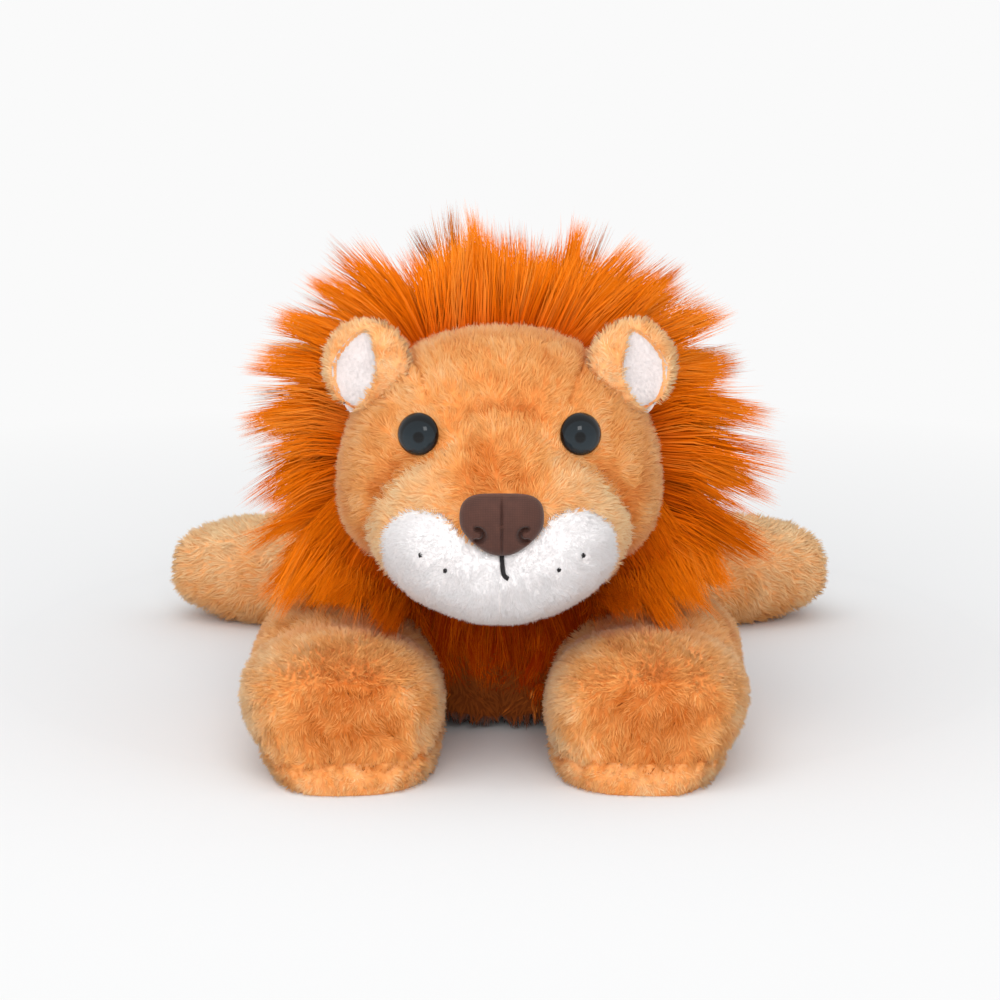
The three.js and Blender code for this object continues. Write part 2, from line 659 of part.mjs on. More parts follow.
function addLegs() {
  for (const [side, suffix] of [[-1, 'right'], [1, 'left']]) {
    const frontJoint = frontLegTurn(side);
    const frontGroup = groupAt(frontJoint.pivot);
    const skin = addLeg(frontGroup, 'front_leg', suffix, (grow) => frontLegForm(side, grow), frontJoint);
    const soleEnd = sole.behindPawFront - frontLeg.pawAhead;
    const soleBlock = (grow) => block(
      point(-reach, -reach, -reach), point(reach, soleEnd + grow, sole.seamHeight + grow));
    addPiece(frontGroup, `paw_sole_${suffix}`, largest(common(skin, soleBlock(0))), 'tanPlush');
    addPiece(frontGroup, `front_leg_cover_${suffix}`, largest(cut(skin, soleBlock(gap))), 'tanPlush');
    const hindJoint = hindLegTurn(side);
    const hindGroup = groupAt(hindJoint.pivot);
    const hindSkin = addLeg(hindGroup, 'hind_leg', suffix, (grow) => hindLegForm(side, grow), hindJoint);
    addPiece(hindGroup, `hind_leg_cover_${suffix}`, hindSkin, 'tanPlush');
  }
}

// The tail and its tuft of mane pile
function addTail() {
  const group = groupAt(tailTurn.pivot);
  const cover = clearWhileTurning(onFloor(tailForm()), torsoForm(turningGap), tailTurn);
  addPiece(group, 'tail_cover', largest(cover), 'tanPlush');
  addPiece(group, 'tail_tuft', largest(cut(onFloor(tuftForm), tailForm(gap))), 'manePile');
}

addTorso();
addPiece(neckGroup, 'neck_filling', neckBall(), 'fibre');
addHead();
addMuzzle();
addNose();
addStitches();
for (const [side, suffix] of [[-1, 'right'], [1, 'left']]) {
  addEye(side, suffix);
  addEar(side, suffix);
}
addMane();
addLegs();
addTail();

lion.position.y = (frontLeg.pawAhead - tuft.endBehind) / 2;

export default lion;
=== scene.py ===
"""A plush lion that lies on its belly: its skins, pile, mane and face, and the studio round it.

Lengths are in metres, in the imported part's frame: +Z is up, the lion faces -Y, and its left is at +X.
A stuffed piece is a skin that is blown up like a cushion, and its pile is strands that grow from it.
"""
import sys

import logging
import math
from collections.abc import Callable, Iterator, Sequence
from contextlib import contextmanager
from dataclasses import dataclass
from enum import Enum

import bpy
import numpy as np
from mathutils import Euler, Matrix, Vector


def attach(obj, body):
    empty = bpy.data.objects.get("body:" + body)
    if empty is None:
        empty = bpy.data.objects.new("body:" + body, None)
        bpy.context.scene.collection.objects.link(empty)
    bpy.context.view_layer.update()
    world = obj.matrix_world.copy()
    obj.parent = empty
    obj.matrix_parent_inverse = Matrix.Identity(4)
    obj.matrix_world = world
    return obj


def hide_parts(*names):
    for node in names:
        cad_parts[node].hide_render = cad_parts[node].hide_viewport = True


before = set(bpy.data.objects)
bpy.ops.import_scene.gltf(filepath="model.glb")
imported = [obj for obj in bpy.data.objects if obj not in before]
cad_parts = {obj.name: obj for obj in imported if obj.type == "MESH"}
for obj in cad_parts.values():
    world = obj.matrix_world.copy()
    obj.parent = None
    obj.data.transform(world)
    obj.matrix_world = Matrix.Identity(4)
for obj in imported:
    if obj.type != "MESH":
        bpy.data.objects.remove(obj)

log = logging.getLogger("lion")

Pair = tuple[float, float]
Place = tuple[float, float, float]
Colour = tuple[float, float, float, float]
Field = Callable[[np.ndarray], np.ndarray]

# The map of a pile's fabric: its tone goes across, and from root to tip it goes up
PILE_MAP = "OFBake"
FIRST_TONE_SHARE = 0.02
TONES_SHARE = 0.95
SKIN_TOP_SHARE = 0.08
STRAND_START_SHARE = 0.12
COLUMN_SHARE = 0.003

# How far strands stay above the floor, and from which height on they grow
ABOVE_FLOOR = 0.0004
FLOOR_CLEAR = 0.0008

# How near two points of a skin are merged, and how far from a ball's middle its back half begins
MERGED = 0.00001
BACK_FROM = 0.0001

# Keep a share or a length that is divided by above zero
TINY = 1e-9
TINIEST = 1e-12

UNDER_MANE_TONE = 0.4


class Side(Enum):
    """The lion's own sides, with the sign of X there."""

    LEFT = 1
    RIGHT = -1

    @property
    def suffix(self) -> str:
        """The end of the names of this side's pieces."""
        return self.name.lower()


# Shader maths


class Signal:
    """A number that a shader works out. Python's operators on it add Math nodes."""

    def __init__(self, recipe: "Recipe", socket: bpy.types.NodeSocket) -> None:
        """Wraps a node's output.

        Args:
            recipe: The material's nodes.
            socket: The output that carries the number.
        """
        self.recipe = recipe
        self.socket = socket

    def _maths(self, operation: str, first: "Signal | float", second: "Signal | float") -> "Signal":
        """Adds one Math node.

        Args:
            operation: The node's operation.
            first: Its first value.
            second: Its second value.

        Returns:
            The node's result.
        """
        node = self.recipe.node("ShaderNodeMath", {"operation": operation}, {0: first, 1: second})
        return Signal(self.recipe, node.outputs[0])

    def __add__(self, other: "Signal | float") -> "Signal":
        """Self plus other."""
        return self._maths("ADD", self, other)

    def __sub__(self, other: "Signal | float") -> "Signal":
        """Self minus other."""
        return self._maths("SUBTRACT", self, other)

    def __rsub__(self, other: float) -> "Signal":
        """Other minus self."""
        return self._maths("SUBTRACT", other, self)

    def __mul__(self, other: "Signal | float") -> "Signal":
        """Self times other."""
        return self._maths("MULTIPLY", self, other)

    def __truediv__(self, other: "Signal | float") -> "Signal":
        """Self divided by other."""
        return self._maths("DIVIDE", self, other)

    def __pow__(self, other: "Signal | float") -> "Signal":
        """Self to the power of other."""
        return self._maths("POWER", self, other)

    __radd__ = __add__
    __rmul__ = __mul__

    def clamped(self) -> "Signal":
        """Self, kept from 0 to 1."""
        node = self.recipe.node("ShaderNodeClamp", {}, {0: self})
        return Signal(self.recipe, node.outputs[0])


class Recipe:
    """The nodes of one material."""

    def __init__(self, name: str) -> None:
        """Starts an empty material.

        Args:
            name: The material's name.
        """
        self.material = bpy.data.materials.new(name)
        self.material.use_nodes = True
        self.tree = self.material.node_tree
        self.tree.nodes.clear()

    def node(self, kind: str, settings: dict | None = None, inputs: dict | None = None) -> bpy.types.Node:
        """Adds a node.

        Args:
            kind: The node's type.
            settings: Its settings, which are set first; "stops" are a colour ramp's stops.
            inputs: Values or links for its sockets, by name or number.

        Returns:
            The node.
        """
        made = self.tree.nodes.new(kind)
        for name, value in (settings or {}).items():
            if name == "stops":
                self._set_stops(made.color_ramp, value)
            else:
                setattr(made, name, value)
        for key, value in (inputs or {}).items():
            self._feed(made.inputs[key], value)
        return made

    @staticmethod
    def _set_stops(ramp: bpy.types.ColorRamp, stops: Sequence[tuple[float, Colour]]) -> None:
        """Sets a colour ramp's stops.

        Args:
            ramp: The ramp, which starts with two.
            stops: Places and colours, in order.
        """
        while len(ramp.elements) < len(stops):
            ramp.elements.new(1)
        for element, (place, colour) in zip(ramp.elements, stops):
            element.position = place
            element.color = colour

    def _feed(self, socket: bpy.types.NodeSocket, value: object) -> None:
        """Links a socket or sets its value.

        Args:
            socket: The input.
            value: A signal, an output or a plain value.
        """
        if isinstance(value, Signal):
            value = value.socket
        if isinstance(value, bpy.types.NodeSocket):
            self.tree.links.new(value, socket)
        else:
            socket.default_value = value

    def mixed(self, first: object, second: object, factor: Signal | float) -> bpy.types.NodeSocket:
        """Mixes two colours.

        Args:
            first: The colour at factor 0.
            second: The colour at factor 1.
            factor: From 0 to 1.

        Returns:
            The mixed colour's output.
        """
        node = self.node("ShaderNodeMix", {"data_type": "RGBA"}, {0: factor, 6: first, 7: second})
        return node.outputs[2]

    def bump(self, height: Signal, distance: float, strength: float) -> bpy.types.NodeSocket:
        """Turns a height into a normal.

        Args:
            height: From 0 to 1.
            distance: How high 1 is.
            strength: The bump's share.

        Returns:
            The normal's output.
        """
        settings = {"Height": height, "Distance": distance, "Strength": strength}
        return self.node("ShaderNodeBump", {}, settings).outputs[0]

    def noise(self, scale: float, detail: float, place: object = None) -> Signal:
        """A noise on the piece's own coordinates.

        Args:
            scale: Bumps per metre.
            detail: How many finer layers there are.
            place: Coordinates of another kind.

        Returns:
            The noise, from 0 to 1.
        """
        if place is None:
            place = self.node("ShaderNodeTexCoord").outputs["Object"]
        inputs = {"Vector": place, "Scale": scale, "Detail": detail}
        return Signal(self, self.node("ShaderNodeTexNoise", {}, inputs).outputs[0])

    def finish(self, shader: bpy.types.Node) -> bpy.types.Material:
        """Connects a shader to the surface.

        Args:
            shader: The last shader.

        Returns:
            The material.
        """
        self.node("ShaderNodeOutputMaterial", {}, {"Surface": shader.outputs[0]})
        return self.material


def paint(red: int, green: int, blue: int) -> Colour:
    """A colour as it looks on a screen.

    Args:
        red: From 0 to 255.
        green: From 0 to 255.
        blue: From 0 to 255.

    Returns:
        The same colour in the linear values that shaders use.
    """
    shares = (red / 255, green / 255, blue / 255)
    linear = [s / 12.92 if s <= 0.04045 else ((s + 0.055) / 1.055) ** 2.4 for s in shares]
    return (*linear, 1.0)


# Finishes


@dataclass(frozen=True)
class PileFinish:
    """A pile fabric: each strand has one tone, and is darker at its root."""

    name: str
    slot: str
    roots: tuple[Colour, ...]
    tips: tuple[Colour, ...]
    stops: tuple[float, ...] = (0.0, 0.5, 1.0)
    rise: float = 0.8
    sheen: float = 0.08
    sheen_roughness: float = 0.45
    roughness: float = 0.85
    roughness_spread: float = 0.1
    gloss: float = 0.12
    fibres_per_metre: float = 900.0
    fibre_height: float = 0.0003
    fibre_strength: float = 0.15

    def material(self) -> bpy.types.Material:
        """Makes the material.

        Returns:
            The material.
        """
        recipe = Recipe(self.name)
        place = recipe.node("ShaderNodeUVMap", {"uv_map": PILE_MAP})
        axes = recipe.node("ShaderNodeSeparateXYZ", {}, {0: place.outputs[0]})
        tone, height = Signal(recipe, axes.outputs[0]), Signal(recipe, axes.outputs[1])
        ramps = []
        for colours in (self.roots, self.tips):
            stops = list(zip(self.stops, colours))
            ramps.append(recipe.node("ShaderNodeValToRGB", {"stops": stops}, {0: tone}).outputs[0])
        colour = recipe.mixed(*ramps, (height ** self.rise).clamped())
        fibres = recipe.noise(self.fibres_per_metre, 2)
        inputs = {
            "Base Color": colour,
            "Roughness": (self.roughness + self.roughness_spread * fibres).clamped(),
            "Specular IOR Level": self.gloss,
            "Sheen Weight": self.sheen,
            "Sheen Roughness": self.sheen_roughness,
            "Normal": recipe.bump(fibres, self.fibre_height, self.fibre_strength),
        }
        return recipe.finish(recipe.node("ShaderNodeBsdfPrincipled", {}, inputs))


# The darkest stop, at tone 0, serves the painted shade on the chest
TAN = PileFinish(
    "tan_pile", "tan_plush",
    roots=(paint(80, 34, 10), paint(184, 92, 28), paint(226, 144, 76), paint(244, 186, 130)),
    tips=(paint(98, 42, 12), paint(226, 124, 46), paint(252, 180, 106), paint(255, 226, 178)),
    stops=(0.0, 0.12, 0.5, 1.0), sheen=0.12,
)
WHITE = PileFinish(
    "white_pile", "white_plush",
    roots=(paint(226, 216, 214), paint(241, 235, 234), paint(249, 246, 246)),
    tips=(paint(240, 232, 231), paint(252, 248, 248), paint(255, 253, 253)),
    sheen=0.05,
)
# The darkest stop, at tone 0, serves the painted shade of the bib and under the chin
MANE = PileFinish(
    "mane_pile", "mane_pile",
    roots=(paint(70, 8, 0), paint(190, 56, 0), paint(232, 100, 4)),
    tips=(paint(160, 36, 0), paint(255, 130, 6), paint(255, 178, 80)),
    stops=(0.0, 0.48, 1.0), rise=0.75, sheen=0.0, roughness=0.8, gloss=0.05,
)


@dataclass(frozen=True)
class Cloth:
    """A woven cloth, with threads that cross."""

    name: str
    slot: str
    dark: Colour
    pale: Colour
    threads: float = 11000.0
    clouds_per_metre: float = 260.0
    cloud_share: float = 0.65
    weave_share: float = 0.45
    roughness: float = 0.62
    roughness_spread: float = 0.2
    gloss: float = 0.3
    sheen: float = 0.12
    sheen_roughness: float = 0.4
    thread_height: float = 0.0001
    thread_strength: float = 0.3

    def material(self) -> bpy.types.Material:
        """Makes the material.

        Returns:
            The material.
        """
        recipe = Recipe(self.name)
        place = recipe.node("ShaderNodeTexCoord").outputs["Object"]
        axes = recipe.node("ShaderNodeSeparateXYZ", {}, {0: place})
        waves = []
        for axis in (0, 2):
            turn = Signal(recipe, axes.outputs[axis]) * self.threads
            sine = recipe.node("ShaderNodeMath", {"operation": "SINE"}, {0: turn})
            waves.append(0.5 + 0.5 * Signal(recipe, sine.outputs[0]))
        weave = waves[0] * waves[1]
        cloudy = recipe.noise(self.clouds_per_metre, 3)
        shade = (self.cloud_share * cloudy + self.weave_share * weave).clamped()
        inputs = {
            "Base Color": recipe.mixed(self.dark, self.pale, shade),
            "Roughness": (self.roughness + self.roughness_spread * cloudy).clamped(),
            "Specular IOR Level": self.gloss,
            "Sheen Weight": self.sheen,
            "Sheen Roughness": self.sheen_roughness,
            "Normal": recipe.bump(weave + cloudy, self.thread_height, self.thread_strength),
        }
        return recipe.finish(recipe.node("ShaderNodeBsdfPrincipled", {}, inputs))


NOSE_CLOTH = Cloth("nose_weave", "nose_cloth", paint(58, 34, 28), paint(96, 62, 52))
THREAD = Cloth("stitch_thread", "thread", paint(10, 9, 10), paint(46, 42, 44), threads=5200.0)
FIBRE = Cloth("wad_fibre", "fibre", paint(220, 216, 208), paint(246, 244, 238), threads=900.0)


@dataclass(frozen=True)
class EyeGloss:
    """Clear plastic over black: slate blue between its dark rim and its pupil, partly a painted reflection.
    """

    name: str = "eye_plastic"
    slot: str = "eye_gloss"
    across: float = 0.0277
    height: float = 0.1208
    radius: float = 0.0075
    rim_from: float = 0.5
    rim_width: float = 0.25
    pupil_share: float = 0.09
    shade: float = 0.45
    # Painted reflection: the slate is paler below, as if it mirrored the pale floor
    painted_reflection_slope: float = 0.35
    slate: Colour = paint(36, 48, 55)
    black: Colour = paint(3, 4, 6)
    scuffs_per_metre: float = 420.0
    roughness: float = 0.05
    gloss: float = 0.3
    coat: float = 0.1
    coat_loss: float = 0.08
    facing_blend: float = 0.4

    def material(self) -> bpy.types.Material:
        """Makes the material.

        Returns:
            The material.
        """
        recipe = Recipe(self.name)
        layer = recipe.node("ShaderNodeLayerWeight", {}, {"Blend": self.facing_blend})
        facing = Signal(recipe, layer.outputs["Facing"])
        scuffs = recipe.noise(self.scuffs_per_metre, 4)
        inputs = {
            "Base Color": recipe.mixed(self.slate, self.black, self.darkness(recipe)),
            "Roughness": (self.roughness + self.roughness * scuffs).clamped(),
            "Specular IOR Level": self.gloss,
            "Coat Weight": (self.coat - self.coat_loss * facing).clamped(),
            "Coat Roughness": self.roughness,
        }
        return recipe.finish(recipe.node("ShaderNodeBsdfPrincipled", {}, inputs))

    def darkness(self, recipe: Recipe) -> Signal:
        """How dark the plastic is: 1 at the rim and in the pupil, less between them, and less below as
        painted reflection.

        Args:
            recipe: The material's nodes.

        Returns:
            The darkness.
        """
        place = recipe.node("ShaderNodeTexCoord").outputs["Object"]
        axes = recipe.node("ShaderNodeSeparateXYZ", {}, {0: place})
        side = Signal(recipe, axes.outputs[0])
        across = ((side * side) ** 0.5 - self.across) / self.radius
        up = (Signal(recipe, axes.outputs[2]) - self.height) / self.radius
        out = across * across + up * up
        rim = ((out - self.rim_from) / self.rim_width).clamped()
        pupil = (1 - out / self.pupil_share).clamped()
        # The last term is the painted reflection, paler below
        return (rim + pupil + (self.shade + self.painted_reflection_slope * up).clamped()).clamped()


@dataclass(frozen=True)
class WasherPlastic:
    """Milky moulded plastic."""

    name: str = "washer_milk"
    slot: str = "washer_plastic"
    grey: Colour = paint(206, 206, 200)
    milk: Colour = paint(230, 230, 226)
    grains_per_metre: float = 600.0
    roughness: float = 0.4
    roughness_spread: float = 0.15
    grain_height: float = 0.0001
    grain_strength: float = 0.2

    def material(self) -> bpy.types.Material:
        """Makes the material.

        Returns:
            The material.
        """
        recipe = Recipe(self.name)
        grain = recipe.noise(self.grains_per_metre, 3)
        inputs = {
            "Base Color": recipe.mixed(self.grey, self.milk, grain),
            "Roughness": (self.roughness + self.roughness_spread * grain).clamped(),
            "Normal": recipe.bump(grain, self.grain_height, self.grain_strength),
        }
        return recipe.finish(recipe.node("ShaderNodeBsdfPrincipled", {}, inputs))


# Modelling by hand


def alone(obj: bpy.types.Object) -> bpy.types.Object:
    """Selects one object and makes it active.

    Args:
        obj: The object.

    Returns:
        The object.
    """
    bpy.ops.object.select_all(action="DESELECT")
    obj.select_set(True)
    bpy.context.view_layer.objects.active = obj
    return obj


@contextmanager
def editing(obj: bpy.types.Object) -> Iterator[None]:
    """Opens an object in edit mode with all of it selected, and closes it again.

    Args:
        obj: The object.

    Yields:
        Nothing.
    """
    alone(obj)
    bpy.ops.object.mode_set(mode="EDIT")
    bpy.ops.mesh.select_all(action="SELECT")
    yield
    bpy.ops.object.mode_set(mode="OBJECT")


def modified(obj: bpy.types.Object, kind: str, **settings: object) -> bpy.types.Object:
    """Adds a modifier and applies it.

    Args:
        obj: The object.
        kind: The modifier's type.
        **settings: Its settings.

    Returns:
        The object.
    """
    alone(obj)
    bpy.ops.object.modifier_add(type=kind)
    modifier = obj.modifiers[-1]
    for name, value in settings.items():
        setattr(modifier, name, value)
    bpy.ops.object.modifier_apply(modifier=modifier.name)
    return obj


def ball(name: str, centre: Place, half: Place, segments: int = 48, rings: int = 24) -> bpy.types.Object:
    """Adds a ball, stretched to a size.

    Args:
        name: The object's name.
        centre: Its centre.
        half: Half its width, depth and height.
        segments: Faces round it.
        rings: Faces from pole to pole.

    Returns:
        The object, settled in place.
    """
    bpy.ops.object.select_all(action="DESELECT")
    bpy.ops.mesh.primitive_uv_sphere_add(segments=segments, ring_count=rings, radius=1, location=centre)
    obj = bpy.context.object
    obj.name = name
    obj.scale = half
    bpy.ops.object.transform_apply(location=True, rotation=True, scale=True)
    return obj


def sliced(obj: bpy.types.Object, at: Place, away: Place) -> bpy.types.Object:
    """Cuts an object with a plane and closes the cut.

    Args:
        obj: The object.
        at: A point on the plane.
        away: The direction in which all is removed.

    Returns:
        The object.
    """
    with editing(obj):
        bpy.ops.mesh.bisect(plane_co=at, plane_no=away, use_fill=True, clear_outer=True)
    return obj


def raised(name: str, outline: Sequence[Pair], rings: Sequence[Pair]) -> bpy.types.Object:
    """Builds a closed form from an outline, ring by ring towards -Y.

    Args:
        name: The object's name.
        outline: Points across and up, clockwise or not.
        rings: For each ring, its share of the outline's size and how far ahead it is.

    Returns:
        The object.
    """
    bpy.ops.object.select_all(action="DESELECT")
    bpy.ops.mesh.primitive_circle_add(vertices=len(outline), radius=1, fill_type="NGON")
    obj = bpy.context.object
    obj.name = name
    first_share, first_ahead = rings[0]
    for vertex, (across, up) in zip(obj.data.vertices, outline):
        vertex.co = (across * first_share, -first_ahead, up * first_share)
    with editing(obj):
        for (share, ahead), (last_share, last_ahead) in zip(rings[1:], rings):
            step = (0, last_ahead - ahead, 0)
            bpy.ops.mesh.extrude_region_move(TRANSFORM_OT_translate={"value": step})
            scale = share / last_share
            bpy.ops.transform.resize(value=(scale, 1, scale), center_override=(0, -ahead, 0))
        bpy.ops.mesh.select_all(action="SELECT")
        bpy.ops.mesh.normals_make_consistent(inside=False)
    return obj


def hull_round(name: str, *nodes: str) -> bpy.types.Object:
    """Stretches one closed skin round copies of the frame's nodes.

    Args:
        name: The new object's name.
        *nodes: The nodes.

    Returns:
        The object.
    """
    bpy.ops.object.select_all(action="DESELECT")
    for node in nodes:
        copy = bpy.data.objects.new(name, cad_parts[node].data.copy())
        bpy.context.scene.collection.objects.link(copy)
        copy.select_set(True)
        bpy.context.view_layer.objects.active = copy
    bpy.ops.object.join()
    obj = bpy.context.object
    obj.name = name
    obj.data.materials.clear()
    bpy.ops.mesh.customdata_custom_splitnormals_clear()
    with editing(obj):
        bpy.ops.mesh.remove_doubles(threshold=MERGED)
        bpy.ops.mesh.convex_hull()
    return obj


# Stuffing


def read(data: bpy.types.bpy_prop_collection, name: str, width: int = 3) -> np.ndarray:
    """Reads one value of every item.

    Args:
        data: The items, such as a mesh's vertices.
        name: The value's name.
        width: How many numbers each has.

    Returns:
        An array of a row for each item.
    """
    flat = np.empty(len(data) * width, dtype=np.float32)
    data.foreach_get(name, flat)
    return flat.reshape(-1, width).astype(float)


def surface(skin: bpy.types.Object) -> tuple[np.ndarray, np.ndarray]:
    """A skin's points and the normals at them."""
    return read(skin.data.vertices, "co"), read(skin.data.vertices, "normal")


def write(mesh: bpy.types.Mesh, points: np.ndarray) -> None:
    """Moves a mesh's vertices.

    Args:
        mesh: The mesh.
        points: The new places.
    """
    mesh.vertices.foreach_set("co", points.astype(np.float32).ravel())
    mesh.update()


def lengths(vectors: np.ndarray) -> np.ndarray:
    """The length of each vector, as a column."""
    return np.linalg.norm(vectors, axis=-1, keepdims=True)


def unit(vectors: np.ndarray) -> np.ndarray:
    """Each vector at length 1."""
    return vectors / np.maximum(lengths(vectors), TINIEST)


@dataclass(frozen=True)
class Stuffing:
    """How a skin is blown up and eased over its filling."""

    voxel: float = 0.0045
    inset: float = 0.0015
    pressure: float = 4.0
    most: float = 0.004
    frames: int = 20
    eases: int = 4
    ease_share: float = 0.5
    last_eases: int = 2
    last_ease_share: float = 0.4
    sunk: float = 0.0
    sole: float = 0.003

    def fill(self, skin: bpy.types.Object) -> bpy.types.Object:
        """Fills a skin, so that it swells between its seams and lies flat on the floor.

        Args:
            skin: A closed skin.

        Returns:
            The same object.
        """
        if self.sunk:
            points = read(skin.data.vertices, "co")
            points[:, 2] -= self.sunk * np.clip(1 - points[:, 2] / self.sole, 0, 1)
            write(skin.data, points)
        alone(skin)
        skin.data.remesh_voxel_size = self.voxel
        bpy.ops.object.voxel_remesh()
        modified(skin, "SMOOTH", iterations=self.eases, factor=self.ease_share)
        with editing(skin):
            bpy.ops.transform.shrink_fatten(value=-self.inset)
        self._blow_up(skin)
        modified(skin, "SMOOTH", iterations=self.last_eases, factor=self.last_ease_share)
        modified(skin, "SUBSURF", levels=1, render_levels=1)
        points = read(skin.data.vertices, "co")
        points[:, 2] = np.maximum(points[:, 2], 0)
        write(skin.data, points)
        return skin

    def _blow_up(self, skin: bpy.types.Object) -> None:
        """Runs the cloth with pressure inside it, and caps how far each point moves.

        Args:
            skin: The object.
        """
        before = read(skin.data.vertices, "co")
        alone(skin)
        bpy.ops.object.modifier_add(type="CLOTH")
        cloth = skin.modifiers[-1]
        cloth.settings.use_pressure = True
        cloth.settings.uniform_pressure_force = self.pressure
        cloth.settings.effector_weights.gravity = 0
        cloth.point_cache.frame_start = 1
        cloth.point_cache.frame_end = self.frames
        for step in range(1, self.frames + 1):
            bpy.context.scene.frame_set(step)
        bpy.ops.object.modifier_apply(modifier=cloth.name)
        bpy.context.scene.frame_set(1)
        moved = read(skin.data.vertices, "co") - before
        far = lengths(moved)
        write(skin.data, before + moved * np.minimum(1, self.most / np.maximum(far, TINY)))


# Seams


@dataclass(frozen=True)
class Seam:
    """A sewn line, seen from one side: it pulls the skin in, shortens the pile beside it and darkens it with
    painted shade.
    """

    points: tuple[Pair, ...]
    axes: tuple[int, int] = (0, 2)
    width: float = 0.0016
    depth: float = 0.0012
    only: Field | None = None
    # How much darker the pile is at the seam: painted shade in its groove
    shade: float = 0.25

    def nearness(self, places: np.ndarray) -> np.ndarray:
        """How near places are to the seam.

        Args:
            places: The places.

        Returns:
            1 on the seam, falling to 0 beside it.
        """
        flat = places[:, self.axes]
        line = np.array(self.points)
        nearest = np.full(len(flat), np.inf)
        for start, end in zip(line, line[1:]):
            step = end - start
            along = np.clip(((flat - start) @ step) / (step @ step), 0, 1)
            away = np.linalg.norm(flat - start - along[:, None] * step, axis=1)
            nearest = np.minimum(nearest, away)
        near = np.exp(-((nearest / self.width) ** 2))
        return near if self.only is None else near * self.only(places)

    def pull_in(self, skin: bpy.types.Object) -> None:
        """Draws a skin in along the seam.

        Args:
            skin: The object.
        """
        points, normals = surface(skin)
        write(skin.data, points - normals * self.depth * self.nearness(points)[:, None])


def nearness_to_all(seams: Sequence[Seam], places: np.ndarray) -> np.ndarray:
    """How near places are to the nearest of some seams.

    Args:
        seams: The seams.
        places: The places.

    Returns:
        From 0 to 1, as a column.
    """
    near = np.zeros(len(places))
    for seam in seams:
        near = np.maximum(near, seam.nearness(places))
    return near[:, None]


# Pile

DRIFT_WAVES = 8
DRIFT_SPREAD = (0.6, 1.6)
SCATTER_SHARE = 1.6
TUFT_BEND_SHARE = 0.5
TUFT_WAVE_SHARE = 3


def drift(places: np.ndarray, wavelength: float, seed: int) -> np.ndarray:
    """A smooth random pattern over space.

    Args:
        places: The places.
        wavelength: The usual distance from one crest to the next.
        seed: Picks the pattern.

    Returns:
        Numbers mostly from -1 to 1.
    """
    rng = np.random.default_rng(seed)
    waves = unit(rng.normal(size=(DRIFT_WAVES, 3))) * rng.uniform(*DRIFT_SPREAD, (DRIFT_WAVES, 1))
    phases = rng.uniform(0, 2 * math.pi, DRIFT_WAVES)
    angles = places @ waves.T * (2 * math.pi / wavelength) + phases
    return np.sin(angles).sum(axis=1) / math.sqrt(DRIFT_WAVES)


def column(tones: np.ndarray) -> np.ndarray:
    """Where tones lie across the pile's map."""
    return FIRST_TONE_SHARE + TONES_SHARE * np.clip(tones, 0, 1)


@dataclass
class Roots:
    """The places on a skin from which strands grow."""

    places: np.ndarray
    normals: np.ndarray

    def kept(self, mask: np.ndarray) -> "Roots":
        """Only the roots at which the mask is true."""
        return Roots(self.places[mask], self.normals[mask])

    @staticmethod
    def on(skin: bpy.types.Object, spacing: float, rng: np.random.Generator) -> "Roots":
        """Scatters roots evenly over a skin.

        Args:
            skin: The object.
            spacing: The usual distance between roots.
            rng: The source of chance.

        Returns:
            The roots.
        """
        mesh = skin.data
        mesh.calc_loop_triangles()
        points = read(mesh.vertices, "co")
        normals = read(mesh.vertices, "normal")
        corners = read(mesh.loop_triangles, "vertices").astype(int)
        a, b, c = (points[corners[:, k]] for k in range(3))
        areas = lengths(np.cross(b - a, c - a))[:, 0] / 2
        count = int(areas.sum() / spacing**2 * SCATTER_SHARE)
        chosen = rng.choice(len(areas), count, p=areas / areas.sum())
        u, v = rng.random((2, count))
        over = u + v > 1
        u[over], v[over] = 1 - u[over], 1 - v[over]
        shares = np.stack([1 - u - v, u, v], axis=1)[:, :, None]
        places = (points[corners[chosen]] * shares).sum(axis=1)
        cells = np.floor(places / spacing).astype(int)
        _, first = np.unique(cells, axis=0, return_index=True)
        outward = unit((normals[corners[chosen]] * shares).sum(axis=1))
        return Roots(places[first], outward[first])


def tufts(places: np.ndarray, size: float) -> np.ndarray:
    """Sorts places into uneven tufts.

    Args:
        places: The places.
        size: A tuft's usual size.

    Returns:
        For each place, its tuft's number.
    """
    drifts = [drift(places, size * TUFT_WAVE_SHARE, seed) for seed in (11, 12, 13)]
    bent = places + size * TUFT_BEND_SHARE * np.stack(drifts, axis=1)
    _, tuft = np.unique(np.floor(bent / size).astype(int), axis=0, return_inverse=True)
    return tuft.ravel()


def drawn_together(
    tips: np.ndarray, roots: np.ndarray, size: float, share: float | np.ndarray, rng: np.random.Generator,
    stray: float = 0.0,
) -> np.ndarray:
    """Draws the tips of neighbouring strands together, as pile does in tufts.

    Args:
        tips: The tips.
        roots: The roots, which decide the tufts.
        size: A tuft's usual size.
        share: How far the tips go towards their tuft's middle.
        rng: The source of chance.
        stray: How far a whole tuft leans aside.

    Returns:
        The new tips.
    """
    tuft = tufts(roots, size)
    count = np.bincount(tuft)
    middle = np.stack([np.bincount(tuft, tips[:, k]) / count for k in range(3)], axis=1)
    middle += rng.normal(size=middle.shape) * stray
    return tips + share * (middle[tuft] - tips)


